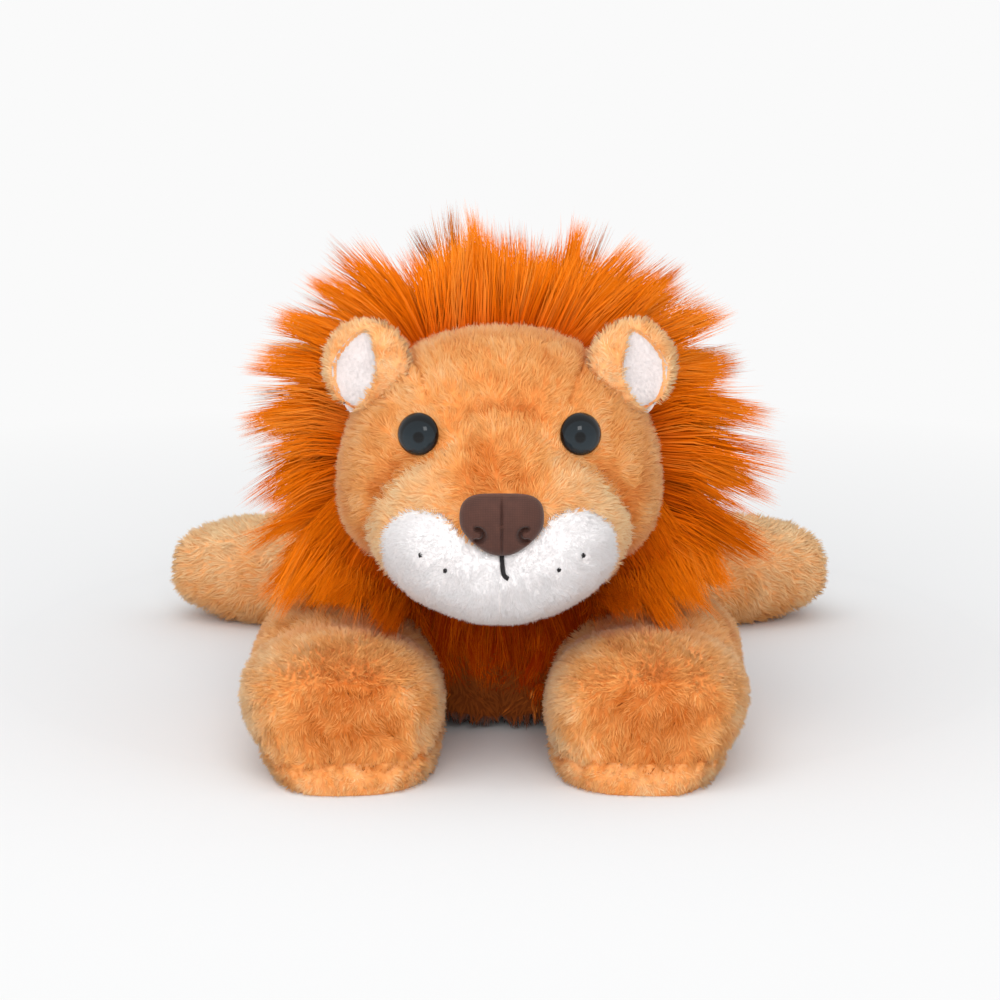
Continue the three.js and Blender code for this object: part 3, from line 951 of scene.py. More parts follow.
class Strands:
    """Closed three-sided tapered strands, as arrays."""

    def __init__(
        self, paths: np.ndarray, widths: np.ndarray, tones: np.ndarray, facing: np.ndarray, softness: float,
        rng: np.random.Generator,
    ) -> None:
        """Wraps strands round their paths.

        Args:
            paths: For each strand, its points from root to tip.
            widths: For each strand, its radius at each point but the last.
            tones: For each strand, from 0, dark, to 1, pale.
            facing: For each strand, the direction that its light is taken from.
            softness: How far the light follows that direction instead of the strand's own sides.
            rng: The source of chance.
        """
        count, stops, _ = paths.shape
        rings = stops - 1
        turns = np.arange(3) * (2 * math.pi / 3)
        tangents = unit(paths[:, 1:] - paths[:, :-1])
        side = unit(np.cross(tangents, rng.normal(size=(count, 1, 3))))
        other = np.cross(tangents, side)
        circle = (
            np.cos(turns)[:, None] * side[:, :, None, :] + np.sin(turns)[:, None] * other[:, :, None, :]
        )
        ringed = paths[:, :-1, None, :] + circle * widths[:, :, None, None]
        self.points = np.concatenate([ringed.reshape(count, rings * 3, 3), paths[:, -1:, :]], axis=1)
        outward = np.concatenate([circle.reshape(count, rings * 3, 3), tangents[:, -1:, :]], axis=1)
        self.normals = unit(softness * facing[:, None, :] + (1 - softness) * outward)
        self.faces = self._faces(count, rings)
        columns = column(tones)[:, None]
        across = np.append(np.tile(np.arange(3), rings), 1) * COLUMN_SHARE
        heights = np.append(np.repeat(np.arange(rings), 3), rings) / rings
        self.map = np.stack([
            columns + across[None, :],
            np.broadcast_to(STRAND_START_SHARE + (1 - STRAND_START_SHARE) * heights, (count, rings * 3 + 1)),
        ], axis=-1)

    @staticmethod
    def _faces(count: int, rings: int) -> np.ndarray:
        """The triangles of all strands.

        Args:
            count: How many strands there are.
            rings: How many rings each has.

        Returns:
            Rows of three point numbers.
        """
        one = [(0, 2, 1)]
        for ring in range(rings - 1):
            low, high = 3 * ring, 3 * ring + 3
            for k in range(3):
                after = (k + 1) % 3
                one += [(low + k, low + after, high + after), (low + k, high + after, high + k)]
        last, tip = 3 * (rings - 1), 3 * rings
        one += [(last + k, last + (k + 1) % 3, tip) for k in range(3)]
        starts = np.arange(count)[:, None, None] * (3 * rings + 1)
        return (np.array(one)[None] + starts).reshape(-1, 3)


@dataclass(frozen=True)
class Pile:
    """A short pile: how it grows and leans."""

    spacing: float = 0.00066
    length: float = 0.0034
    width: float = 0.00028
    lean: float = 0.4
    tuft: float = 0.0024
    gather: float = 0.5
    stray: float = 0.0006
    softness: float = 0.62
    mottle: float = 0.06
    mottle_length: float = 0.006
    uneven: float = 0.16
    seam_share: float = 0.65
    wander: float = 0.012
    scatter: float = 0.25
    rooted: float = 0.0004
    thinnest_share: float = 0.8
    thickest_share: float = 1.25

    def grow(
        self, skin: bpy.types.Object, flow: Field, tone: Field, seed: int, keep: Field | None = None,
        seams: Sequence[Seam] = (), longer: Field | None = None,
    ) -> Strands:
        """Grows the pile of a skin.

        Args:
            skin: The object.
            flow: The direction in which the pile lies at each place.
            tone: The strands' tone at each place.
            seed: Picks the strands.
            keep: Where there are strands.
            seams: Lines at which the pile is short and darkened with painted shade.
            longer: The length's share at each place.

        Returns:
            The strands.
        """
        rng = np.random.default_rng(seed)
        roots = Roots.on(skin, self.spacing, rng)
        if keep is not None:
            roots = roots.kept(keep(roots.places))
        places, normals = roots.places, roots.normals
        near = nearness_to_all(seams, places)
        uneven = 1 + self.uneven * rng.normal(size=(len(places), 1))
        reach = self.length * uneven * (1 - self.seam_share * near)
        if longer is not None:
            reach = reach * longer(places)[:, None]
        stream = flow(places)
        stream = unit(stream - normals * (stream * normals).sum(axis=1, keepdims=True))
        aside = np.cross(normals, stream) * drift(places, self.wander, seed + 1)[:, None]
        lie = unit(normals * (1 - self.lean) + (stream + aside) * self.lean)
        lie = unit(lie + self.scatter * rng.normal(size=lie.shape))
        tips = places + lie * reach
        tips = drawn_together(tips, places, self.tuft, self.gather, rng, self.stray)
        paths = np.stack([places - normals * self.rooted, tips], axis=1)
        # Painted shade: the pile is darker along seams, as in the shade of their grooves
        shade = max((seam.shade for seam in seams), default=0)
        tones = tone(places) + self.mottle * rng.normal(size=len(places)) - shade * near[:, 0]
        tones += self.mottle * drift(places, self.mottle_length, seed + 2)
        thick = rng.uniform(self.thinnest_share, self.thickest_share, (len(places), 1))
        widths = np.full((len(places), 1), self.width) * thick
        return Strands(paths, widths, tones, normals, self.softness, rng)


class Pelt:
    """A skin and the strands on it, which become one mesh."""

    patch_length: float = 0.004
    patch_spread: float = 0.1
    fleck_length: float = 0.003
    fleck_middle_share: float = 0.5
    fleck_share: float = 0.4

    def __init__(self, skin: bpy.types.Object, tone: Field) -> None:
        """Starts with the skin.

        Args:
            skin: The object.
            tone: The skin's tone at each place.
        """
        self.skin = skin
        mesh = skin.data
        mesh.calc_loop_triangles()
        points = read(mesh.vertices, "co")
        columns = column(tone(points) + self.patch_spread * drift(points, self.patch_length, 5))
        flecks = np.clip(drift(points, self.fleck_length, 6), -1, 1)
        heights = SKIN_TOP_SHARE * (self.fleck_middle_share + self.fleck_share * flecks)
        self.points = [points]
        self.normals = [read(mesh.vertices, "normal")]
        self.faces = [read(mesh.loop_triangles, "vertices").astype(int)]
        self.maps = [np.stack([columns, heights], axis=1)]

    def add(self, strands: Strands) -> "Pelt":
        """Adds strands.

        Args:
            strands: The strands.

        Returns:
            The pelt.
        """
        start = sum(len(points) for points in self.points)
        self.points.append(strands.points.reshape(-1, 3))
        self.normals.append(strands.normals.reshape(-1, 3))
        self.faces.append(strands.faces + start)
        self.maps.append(strands.map.reshape(-1, 2))
        return self

    def placed(self, matrix: Matrix) -> "Pelt":
        """Turns and shifts all of the pelt.

        Args:
            matrix: The turn and the shift.

        Returns:
            The pelt.
        """
        turn, shift = np.array(matrix.to_3x3()), np.array(matrix.translation)
        self.points = [points @ turn.T + shift for points in self.points]
        self.normals = [normals @ turn.T for normals in self.normals]
        return self

    def sew(
        self, finish: PileFinish, body: str, replaced: Sequence[str], fill: float | None
    ) -> bpy.types.Object:
        """Makes the mesh, dresses it and lets it ride.

        Args:
            finish: The pile's finish.
            body: The body that it rides on.
            replaced: The nodes that it stands for.
            fill: How full it is stuffed, or None for a piece without stuffing. It is not used.

        Returns:
            The object.
        """
        on_skin = len(self.points[0])
        points, faces = np.concatenate(self.points), np.concatenate(self.faces)
        points[:on_skin, 2] = np.maximum(points[:on_skin, 2], 0)
        points[on_skin:, 2] = np.maximum(points[on_skin:, 2], ABOVE_FLOOR)
        mesh = bpy.data.meshes.new(self.skin.name)
        mesh.vertices.add(len(points))
        mesh.vertices.foreach_set("co", points.astype(np.float32).ravel())
        mesh.loops.add(faces.size)
        mesh.loops.foreach_set("vertex_index", faces.astype(np.int32).ravel())
        mesh.polygons.add(len(faces))
        mesh.polygons.foreach_set("loop_start", np.arange(0, faces.size, 3, dtype=np.int32))
        mesh.polygons.foreach_set("use_smooth", np.ones(len(faces), dtype=bool))
        layer = mesh.uv_layers.new(name=PILE_MAP)
        layer.data.foreach_set("uv", np.concatenate(self.maps)[faces.ravel()].astype(np.float32).ravel())
        mesh.update()
        mesh.validate()
        mesh.normals_split_custom_set_from_vertices(unit(np.concatenate(self.normals)))
        self.skin.data = mesh
        return dressed(self.skin, finish, body, replaced)


_made: dict[str, bpy.types.Material] = {}


def dressed(
    obj: bpy.types.Object, finish: object, body: str, replaced: Sequence[str] = ()
) -> bpy.types.Object:
    """Gives a piece its material, lets it ride and reports it.

    Args:
        obj: The piece.
        finish: One of the finishes.
        body: The body that it rides on.
        replaced: The nodes that it stands for.

    Returns:
        The piece.
    """
    if finish.name not in _made:
        _made[finish.name] = finish.material()
    obj.data.materials.clear()
    obj.data.materials.append(_made[finish.name])
    if replaced:
        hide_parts(*replaced)
    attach(obj, body)
    log.info("%s: %d faces on %s", obj.name, len(obj.data.polygons), body)
    return obj


def smooth(obj: bpy.types.Object, degrees: float = 40) -> bpy.types.Object:
    """Shades an object smoothly, but for its sharp edges.

    Args:
        obj: The object.
        degrees: The angle from which an edge is sharp.

    Returns:
        The object.
    """
    alone(obj)
    bpy.ops.object.shade_smooth_by_angle(angle=math.radians(degrees))
    return obj


def away_from(centre: Place, droop: float = 0.0) -> Field:
    """Pile that lies away from a point.

    Args:
        centre: The point.
        droop: How much more it points down.

    Returns:
        The field of directions.
    """
    return lambda places: unit(places - np.array(centre)) + np.array([0, 0, -droop])


def along(direction: Place) -> Field:
    """Pile that lies one way everywhere."""
    return lambda places: np.broadcast_to(np.array(direction, dtype=float), places.shape)


def within(places: np.ndarray, centre: Place, half: Place) -> np.ndarray:
    """How far places are inside an ellipsoid.

    Args:
        places: The places.
        centre: The ellipsoid's centre.
        half: Its half sizes.

    Returns:
        The share of the way out: under 1 is inside.
    """
    return np.linalg.norm((places - np.array(centre)) / np.array(half), axis=1)


def is_off_the_floor(places: np.ndarray) -> np.ndarray:
    """Where pile isn't hidden between the lion and the floor."""
    return places[:, 2] > FLOOR_CLEAR


def patch(places: np.ndarray, centre: Place, size: float) -> np.ndarray:
    """A soft round patch.

    Args:
        places: The places.
        centre: The patch's middle.
        size: How far it reaches.

    Returns:
        1 in the middle, falling to 0.
    """
    return np.exp(-((np.linalg.norm(places - np.array(centre), axis=1) / size) ** 2))


# The lion's pieces


@dataclass
class Torso:
    """The body's skin, the neck's wad and the seam down the chest."""

    pile: Pile = Pile(spacing=0.0013, length=0.0052, width=0.0006, tuft=0.004)
    stuffing: Stuffing = Stuffing(voxel=0.006, most=0.005, sunk=0.008)
    chest: Seam = Seam(((0, 0), (0, 0.09)), width=0.002, depth=0.002)
    neck_centre: Place = (0, -0.097, 0.08)
    neck_half: Place = (0.0238, 0.0238, 0.0238)
    dent_length: float = 0.012
    dent_depth: float = 0.0012
    chest_push: float = 0.06
    chest_from: float = -0.05
    chest_run: float = 0.012
    chest_front: float = -0.13
    chest_half: float = 0.024
    chest_height: float = 0.03
    flow: Place = (0, 0.7, -0.6)
    tone_middle: float = 0.42
    # Painted shade: how much darker the chest is, and from where, as if in shadow between the legs
    chest_painted_shade: float = 0.5
    chest_shade_from: float = -0.09
    chest_shade_run: float = 0.02
    tone_spread: float = 0.1
    tone_length: float = 0.03

    def build(self) -> None:
        """Builds the torso and the wad in the neck."""
        skin = hull_round("torso_plush", "torso_cover")
        self.stuffing.fill(skin)
        self.fill_chest(skin)
        self.chest.pull_in(skin)
        pelt = Pelt(skin, self.tone).add(self.pile.grow(
            skin, along(self.flow), self.tone, 3, is_off_the_floor, (self.chest,)))
        pelt.sew(TAN, "torso", ("torso_cover", "torso_filling"), fill=0.8)
        wad = ball("neck_wad", self.neck_centre, self.neck_half, 32, 16)
        points, normals = surface(wad)
        dents = np.abs(drift(points, self.dent_length, 8))[:, None]
        write(wad.data, points - normals * self.dent_depth * dents)
        dressed(smooth(wad), FIBRE, "neck", ("neck_filling",))

    def fill_chest(self, skin: bpy.types.Object) -> None:
        """Pushes the chest ahead where it rests on the floor between the legs.

        Args:
            skin: The torso's skin.
        """
        points = read(skin.data.vertices, "co")
        low = np.clip(1.3 - points[:, 2] / self.chest_height, 0, 1)
        ahead = np.clip((self.chest_from - points[:, 1]) / self.chest_run, 0, 1)
        between = np.clip(1.5 - np.abs(points[:, 0]) / self.chest_half * 0.5, 0, 1)
        pushed = points[:, 1] - self.chest_push * low * ahead * between
        points[:, 1] = np.maximum(pushed, np.minimum(points[:, 1], self.chest_front))
        write(skin.data, points)

    def tone(self, places: np.ndarray) -> np.ndarray:
        """The pile's tone: darkest on the chest, a painted shade where it lies in shadow between the legs."""
        chest = np.clip((self.chest_shade_from - places[:, 1]) / self.chest_shade_run, 0, 1)
        clouds = self.tone_spread * drift(places, self.tone_length, 7)
        return self.tone_middle - self.chest_painted_shade * chest + clouds


@dataclass(frozen=True)
class Bulge:
    """The muzzle's rounded front, which stands out from the face."""

    height: float = 0.086
    half_width: float = 0.0452
    rise: float = 0.0432
    drop: float = 0.0345
    behind: float = -0.163
    ahead: float = 0.0364
    corner_above: float = 1.65
    corner_below: float = 1.85
    fullness: float = 3.0

    def share(self, across: np.ndarray, up: np.ndarray) -> np.ndarray:
        """How far out places are in the front view.

        Args:
            across: Their X.
            up: Their heights above the bulge's middle.

        Returns:
            0 in the middle and 1 at the edge.
        """
        above = up > 0
        corner = np.where(above, self.corner_above, self.corner_below)
        tall = np.where(above, self.rise, self.drop)
        wide = np.abs(across) / self.half_width
        return (wide**corner + (np.abs(up) / tall) ** corner) ** (1 / corner)

    def front(self, across: np.ndarray, up: np.ndarray) -> np.ndarray:
        """Where the front is.

        Args:
            across: The places' X.
            up: Their heights above the bulge's middle.

        Returns:
            The front's Y.
        """
        share = np.clip(self.share(across, up), 0, 1)
        return self.behind - self.ahead * np.sqrt(1 - share**self.fullness)


@dataclass(frozen=True)
class PadShape:
    """The white pads' outline in the front view, and how far they puff out of the muzzle.

    The outline runs from its top round the inner side, which the other pad hides, to the outer side.
    """

    across: float = 0.0185
    height: float = 0.075
    half_width: float = 0.0215
    half_height: float = 0.0215
    outline: tuple[Pair, ...] = (
        (0.0255, 0.0965), (0.0200, 0.0950), (0.0145, 0.0905), (0.0083, 0.0862), (0.0030, 0.0835),
        (-0.0030, 0.0820), (-0.0060, 0.0720), (-0.0040, 0.0540), (0.0000, 0.0515), (0.0067, 0.0525),
        (0.0135, 0.0548), (0.0202, 0.0576), (0.0275, 0.0603), (0.0337, 0.0640), (0.0382, 0.0705),
        (0.0400, 0.0780), (0.0392, 0.0855), (0.0362, 0.0915), (0.0315, 0.0955),
    )
    puff: float = 0.0034

    def share(self, across: np.ndarray, height: np.ndarray) -> np.ndarray:
        """How far out places are in a pad's outline.

        Args:
            across: Their distances from the lion's middle.
            height: Their heights.

        Returns:
            0 in the pad's middle and 1 at its edge.
        """
        edge = np.array(self.outline) - np.array([self.across, self.height])
        wide, tall = across - self.across, height - self.height
        edge_angles = np.arctan2(edge[:, 1], edge[:, 0])
        edge_reach = np.hypot(edge[:, 0], edge[:, 1])
        reach = np.interp(np.arctan2(tall, wide), edge_angles, edge_reach, period=2 * math.pi)
        return np.hypot(wide, tall) / reach


@dataclass
class Head:
    """The head's skin with its darts, and the hollows that the eyes sit in."""

    pile: Pile = Pile()
    stuffing: Stuffing = Stuffing(voxel=0.005, most=0.0035)
    bulge: Bulge = Bulge()
    nose: Place = (0, -0.205, 0.09)
    darts: tuple[Seam, ...] = (
        Seam(((-0.034, 0.147), (-0.027, 0.138), (-0.024, 0.130)), width=0.0012, depth=0.001),
        Seam(((0.034, 0.147), (0.027, 0.138), (0.024, 0.130)), width=0.0012, depth=0.001),
        Seam(((0, 0.05), (0, 0.074)), width=0.0012, depth=0.001),
    )
    eye_places: tuple[Place, Place] = ((-0.0277, -0.182, 0.121), (0.0277, -0.182, 0.121))
    eye_clear: float = 0.0072
    lid: float = 0.0026
    lid_size: float = 0.008
    lid_across_share: float = 0.76
    lid_below: float = 0.0065
    crease_depth: float = 0.0022
    crease_width: float = 0.07
    crease_eye_clear: float = 0.013
    crease_behind: float = -0.14
    middle: float = 0.093
    half_height: float = 0.06
    half_width: float = 0.058
    tone_middle: float = 0.5
    tone_slope: float = 0.03
    # Painted shade: how much darker the pile is in the crease round the muzzle
    crease_painted_shade: float = 0.2
    tone_spread: float = 0.09
    tone_length: float = 0.02
    short_round_eyes: float = 0.011
    short_share: float = 0.35
    pile_behind: float = -0.106
    muzzle_behind: float = -0.15
    muzzle_share: float = 0.88

    def build(self) -> None:
        """Builds the head."""
        skin = self.stuffing.fill(hull_round("head_plush", "head_cover"))
        for dart in self.darts:
            dart.pull_in(skin)
        self.press_crease_in(skin)
        self.swell_lids(skin)
        pelt = Pelt(skin, self.tone).add(self.pile.grow(
            skin, away_from(self.nose), self.tone, 21, self.is_open, self.darts, self.longer))
        pelt.sew(TAN, "head", ("head_cover", "head_filling"), fill=0.9)

    def swell_lids(self, skin: bpy.types.Object) -> None:
        """Swells the skin over the inner edge of each eye.

        Args:
            skin: The head's skin.
        """
        points, normals = surface(skin)
        for across, ahead, height in self.eye_places:
            inner = (across * self.lid_across_share, ahead, height - self.lid_below)
            points += normals * self.lid * patch(points, inner, self.lid_size)[:, None]
        write(skin.data, points)

    def crease(self, places: np.ndarray) -> np.ndarray:
        """How near places are to the line where the muzzle is sewn on: 1 on it, falling to 0."""
        out = self.bulge.share(places[:, 0], places[:, 2] - self.bulge.height)
        near_eyes = sum(patch(places, eye, self.crease_eye_clear) for eye in self.eye_places)
        clear = (1 - np.minimum(near_eyes, 1)) * (places[:, 1] < self.crease_behind)
        return np.exp(-(((out - 1) / self.crease_width) ** 2)) * clear

    def press_crease_in(self, skin: bpy.types.Object) -> None:
        """Pulls the skin in round the muzzle.

        Args:
            skin: The head's skin.
        """
        points, normals = surface(skin)
        write(skin.data, points - normals * self.crease_depth * self.crease(points)[:, None])

    def tone(self, places: np.ndarray) -> np.ndarray:
        """The pile's tone: pale on the forehead, darker on the cheeks, with painted shade in the crease round
        the muzzle.
        """
        up = (places[:, 2] - self.middle) / self.half_height
        sides = np.abs(places[:, 0]) / self.half_width
        tone = self.tone_middle + self.tone_slope * up - self.tone_slope * sides**2
        clouds = self.tone_spread * drift(places, self.tone_length, 9)
        return tone - self.crease_painted_shade * self.crease(places) + clouds

    def longer(self, places: np.ndarray) -> np.ndarray:
        """The pile's length: shorter round the eyes."""
        near = sum(patch(places, eye, self.short_round_eyes) for eye in self.eye_places)
        return 1 - self.short_share * near

    def is_open(self, places: np.ndarray) -> np.ndarray:
        """Where the pile isn't under an eye, the muzzle or the mane."""
        out = self.bulge.share(places[:, 0], places[:, 2] - self.bulge.height)
        beside = (out > self.muzzle_share) | (places[:, 1] > self.muzzle_behind)
        open_ = (places[:, 1] < self.pile_behind) & beside
        for eye in self.eye_places:
            open_ &= np.linalg.norm(places - np.array(eye), axis=1) > self.eye_clear
        return open_


@dataclass
class Muzzle:
    """The snout's tan skin, the two white pads, the mouth's stitch and the whisker knots."""

    bulge: Bulge = Bulge()
    pad: PadShape = PadShape()
    snout_pile: Pile = Pile(length=0.0034, lean=0.42)
    pad_pile: Pile = Pile(
        spacing=0.00055, length=0.0022, width=0.00025, lean=0.3, tuft=0.0018, gather=0.35, stray=0.0002,
        softness=0.8,
    )
    brow: Seam = Seam(((-0.02, 0.1235), (-0.008, 0.1262), (0.008, 0.1262), (0.02, 0.1235)), width=0.0012)
    snout_parting: Place = (0, -0.214, 0.098)
    wrinkle_length: float = 0.014
    snout_wrinkle: float = 0.0005
    snout_sunk: float = 0.004
    snout_thick: float = 0.012
    snout_behind: float = -0.168
    snout_below: float = 0.08
    snout_aside: float = 0.03
    deep_places: tuple[Place, Place] = ((0, -0.199, 0.108), (-0.004, -0.195, 0.116))
    deep_sizes: Pair = (0.013, 0.012)
    pale_from: float = 0.012
    pale_run: float = 0.024
    snout_tones: Place = (0.56, 0.34, 0.27)
    least_tone: float = 0.24
    tone_spread: float = 0.08
    tone_length: float = 0.012
    pad_parting: Place = (0, -0.21, 0.092)
    pad_behind: float = -0.168
    pad_pile_behind: float = -0.17
    pad_thick: float = 0.006
    pad_wrinkle: float = 0.0003
    pad_edge_sunk: float = 0.001
    pad_overlap: float = 0.0004
    pad_droop: float = 0.2
    pad_tone_middle: float = 0.66
    pad_tone_spread: float = 0.07
    pad_tone_length: float = 0.01
    pad_seam: Seam = Seam(((0, 0.05), (0, 0.1)), width=0.0012, depth=0.0003)
    parting_gap: float = 0.0001
    parting_width: float = 0.0008
    knot_clear: float = 0.0016
    mouth_clear: float = 0.0013
    short_shares: Place = (0.7, 0.75, 0.12)
    least_share: float = 0.15
    nose_middle: Place = (0, -0.2, 0.0955)
    nose_hidden: Place = (0.0125, 0.02, 0.0085)
    knot_half: Place = (0.00075, 0.0007, 0.00085)
    knot_twist: float = 0.0001
    knot_turns: float = 9000.0
    knots: tuple[Pair, ...] = (
        (-0.0271, 0.0819), (-0.0186, 0.077), (0.0203, 0.0772), (0.0287, 0.0815),
    )
    mouth: tuple[Pair, ...] = (
        (0.0006, 0.0852), (0.0008, 0.0815), (0.0011, 0.0780), (0.0014, 0.0757), (0.0024, 0.0746),
        (0.0031, 0.0743),
    )
    thread: float = 0.0008
    pile_depth: float = 0.0016

    def build(self) -> None:
        """Builds the muzzle."""
        self.build_snout()
        for side in Side:
            self.build_pad(side)
        self.build_mouth()
        for number, place in enumerate(self.knots, start=1):
            self.build_knot(number, place)

    def build_snout(self) -> None:
        """Builds the tan skin between the brow and the pads."""
        bulge = self.bulge
        skin = ball("snout_plush", (0, 0, 0), (1, 1, 1), 72, 36)
        points = read(skin.data.vertices, "co")
        out = np.hypot(points[:, 0], points[:, 2])
        scale = out / np.maximum(bulge.share(points[:, 0], points[:, 2]), TINY)
        across, up = points[:, 0] * scale, points[:, 2] * scale
        front = bulge.front(across, up)
        pad = self.pad.share(np.abs(across), up + bulge.height)
        front += self.snout_sunk * np.clip((1.03 - pad) / 0.25, 0, 1)
        back = bulge.behind + self.snout_thick * np.abs(points[:, 1])
        ahead = np.where(points[:, 1] < BACK_FROM, front, back)
        write(skin.data, np.stack([across, ahead, up + bulge.height], axis=1))
        self.wrinkle(skin, self.snout_wrinkle, 31)
        pelt = Pelt(skin, self.snout_tone).add(self.snout_pile.grow(
            skin, away_from(self.snout_parting), self.snout_tone, 33, self.is_snout, (self.brow,)))
        pelt.sew(TAN, "head", ("snout_cover", "muzzle_filling"), fill=0.8)

    def wrinkle(self, skin: bpy.types.Object, depth: float, seed: int) -> None:
        """Makes a skin slightly uneven.

        Args:
            skin: The object.
            depth: How uneven it is.
            seed: Picks the pattern.
        """
        points, normals = surface(skin)
        write(skin.data, points + normals * depth * drift(points, self.wrinkle_length, seed)[:, None])

    def snout_tone(self, places: np.ndarray) -> np.ndarray:
        """The snout's tone: deep above the nose and pale at its edges."""
        lower, upper = (patch(places, *spot) for spot in zip(self.deep_places, self.deep_sizes))
        deep = lower + 0.6 * upper
        edge = np.clip((np.abs(places[:, 0]) - self.pale_from) / self.pale_run, 0, 1)
        middle, paler, deeper = self.snout_tones
        clouds = self.tone_spread * drift(places, self.tone_length, 32)
        return np.maximum(middle + paler * edge - deeper * deep + clouds, self.least_tone)

    def is_beside_nose(self, places: np.ndarray) -> np.ndarray:
        """Where the nose doesn't hide the pile."""
        return within(places, self.nose_middle, self.nose_hidden) > 1

    def is_snout(self, places: np.ndarray) -> np.ndarray:
        """Where the snout's pile isn't under the head, the pads or the nose."""
        clear = self.pad.share(np.abs(places[:, 0]), places[:, 2]) > 0.97
        beside = (np.abs(places[:, 0]) > self.snout_aside) | (places[:, 2] > self.snout_below)
        return clear & self.is_beside_nose(places) & beside & (places[:, 1] < self.snout_behind)

    def pad_front(self, across: np.ndarray, height: np.ndarray) -> np.ndarray:
        """Where a pad's front is.

        Args:
            across: Places' distances from the lion's middle.
            height: Their heights.

        Returns:
            The front's Y.
        """
        share = np.clip(self.pad.share(across, height), 0, 1)
        puffed = self.pad.puff * np.sqrt(1 - share**2)
        front = self.bulge.front(across, height - self.bulge.height)
        return front - puffed + self.pad_edge_sunk * share**4

    def build_pad(self, side: Side) -> None:
        """Builds one white pad, flat against the other at the centre seam.

        Args:
            side: The lion's side.
        """
        pad = self.pad
        skin = ball(f"muzzle_pad_plush_{side.suffix}", (0, 0, 0), (1, 1, 1), 64, 32)
        points = read(skin.data.vertices, "co")
        out = np.hypot(points[:, 0], points[:, 2])
        wide, tall = points[:, 0] * pad.half_width, points[:, 2] * pad.half_height
        scale = out / np.maximum(pad.share(wide + pad.across, tall + pad.height), TINY)
        across, height = wide * scale + pad.across, tall * scale + pad.height
        front = self.pad_front(across, height)
        back = self.pad_behind + self.pad_thick * np.abs(points[:, 1])
        ahead = np.where(points[:, 1] < BACK_FROM, front, back)
        write(skin.data, np.stack([side.value * across, ahead, height], axis=1))
        if side is Side.RIGHT:
            with editing(skin):
                bpy.ops.mesh.normals_make_consistent(inside=False)
        sliced(skin, (side.value * -self.pad_overlap, 0, 0), (-side.value, 0, 0))
        self.wrinkle(skin, self.pad_wrinkle, 35 + side.value)
        self.pad_seam.pull_in(skin)
        pelt = Pelt(skin, self.pad_tone).add(self.pad_pile.grow(
            skin, away_from(self.pad_parting, self.pad_droop), self.pad_tone, 37 + side.value,
            lambda places: self.is_pad(places, side), (), self.pad_length))
        pelt.sew(WHITE, "head", (f"muzzle_pad_{side.suffix}",), fill=0.9)

    def pad_tone(self, places: np.ndarray) -> np.ndarray:
        """The pads' tone."""
        return self.pad_tone_middle + self.pad_tone_spread * drift(places, self.pad_tone_length, 36)

    def pad_length(self, places: np.ndarray) -> np.ndarray:
        """The pads' pile is short at the knots, at the centre seam and beside the mouth's stitch."""
        flat = places[:, (0, 2)]
        share = np.ones(len(places))
        at_knot, at_mouth, at_parting = self.short_shares
        for knot in self.knots:
            away = np.linalg.norm(flat - np.array(knot), axis=1)
            share -= at_knot * np.exp(-((away / self.knot_clear) ** 2))
        mouth = Seam(self.mouth, width=self.mouth_clear).nearness(places)
        centre = at_parting * np.exp(-((places[:, 0] / self.parting_width) ** 2))
        return np.clip(share - at_mouth * mouth - centre, self.least_share, 1)

    def is_pad(self, places: np.ndarray, side: Side) -> np.ndarray:
        """Where a pad's pile isn't inside the head, the other pad or the nose."""
        outside = places[:, 0] * side.value > self.parting_gap
        return outside & self.is_beside_nose(places) & (places[:, 1] < self.pad_pile_behind)

    def pile_front(self, across: float, height: float) -> float:
        """How far ahead the pads' pile is.

        Args:
            across: The place across.
            height: The place's height.

        Returns:
            Its Y.
        """
        front = self.pad_front(np.array([abs(across)]), np.array([height]))
        return float(front[0]) - self.pile_depth

    def build_mouth(self) -> None:
        """Builds the mouth's stitch: a thread with a kink at its end."""
        curve = bpy.data.curves.new("mouth_thread", "CURVE")
        curve.dimensions = "3D"
        curve.bevel_depth = self.thread
        curve.bevel_resolution = 3
        curve.resolution_u = 10
        curve.use_fill_caps = True
        spline = curve.splines.new("NURBS")
        spline.points.add(len(self.mouth) - 1)
        spline.use_endpoint_u = True
        spline.order_u = 3
        for point, (across, height) in zip(spline.points, self.mouth):
            ahead = self.pile_front(across, height) + self.thread
            point.co = (across, ahead, height, 1)
        obj = bpy.data.objects.new("mouth_thread", curve)
        bpy.context.scene.collection.objects.link(obj)
        alone(obj)
        bpy.ops.object.convert(target="MESH")
        dressed(smooth(bpy.context.object), THREAD, "head", ("mouth_stitch",))

    def build_knot(self, number: int, place: Pair) -> None:
        """Builds one whisker knot: a small wound thread.

        Args:
            number: The knot's number.
            place: Its place across and its height.
        """
        across, height = place
        ahead = self.pile_front(across, height) + self.thread
        knot = ball(f"whisker_knot_{number}", (across, ahead, height), self.knot_half, 12, 8)
        points = read(knot.data.vertices, "co")
        write(knot.data, points + self.knot_twist * np.sin(points[:, :1] * self.knot_turns))
        dressed(smooth(knot), THREAD, "head", (f"whisker_stitch_{number}",))


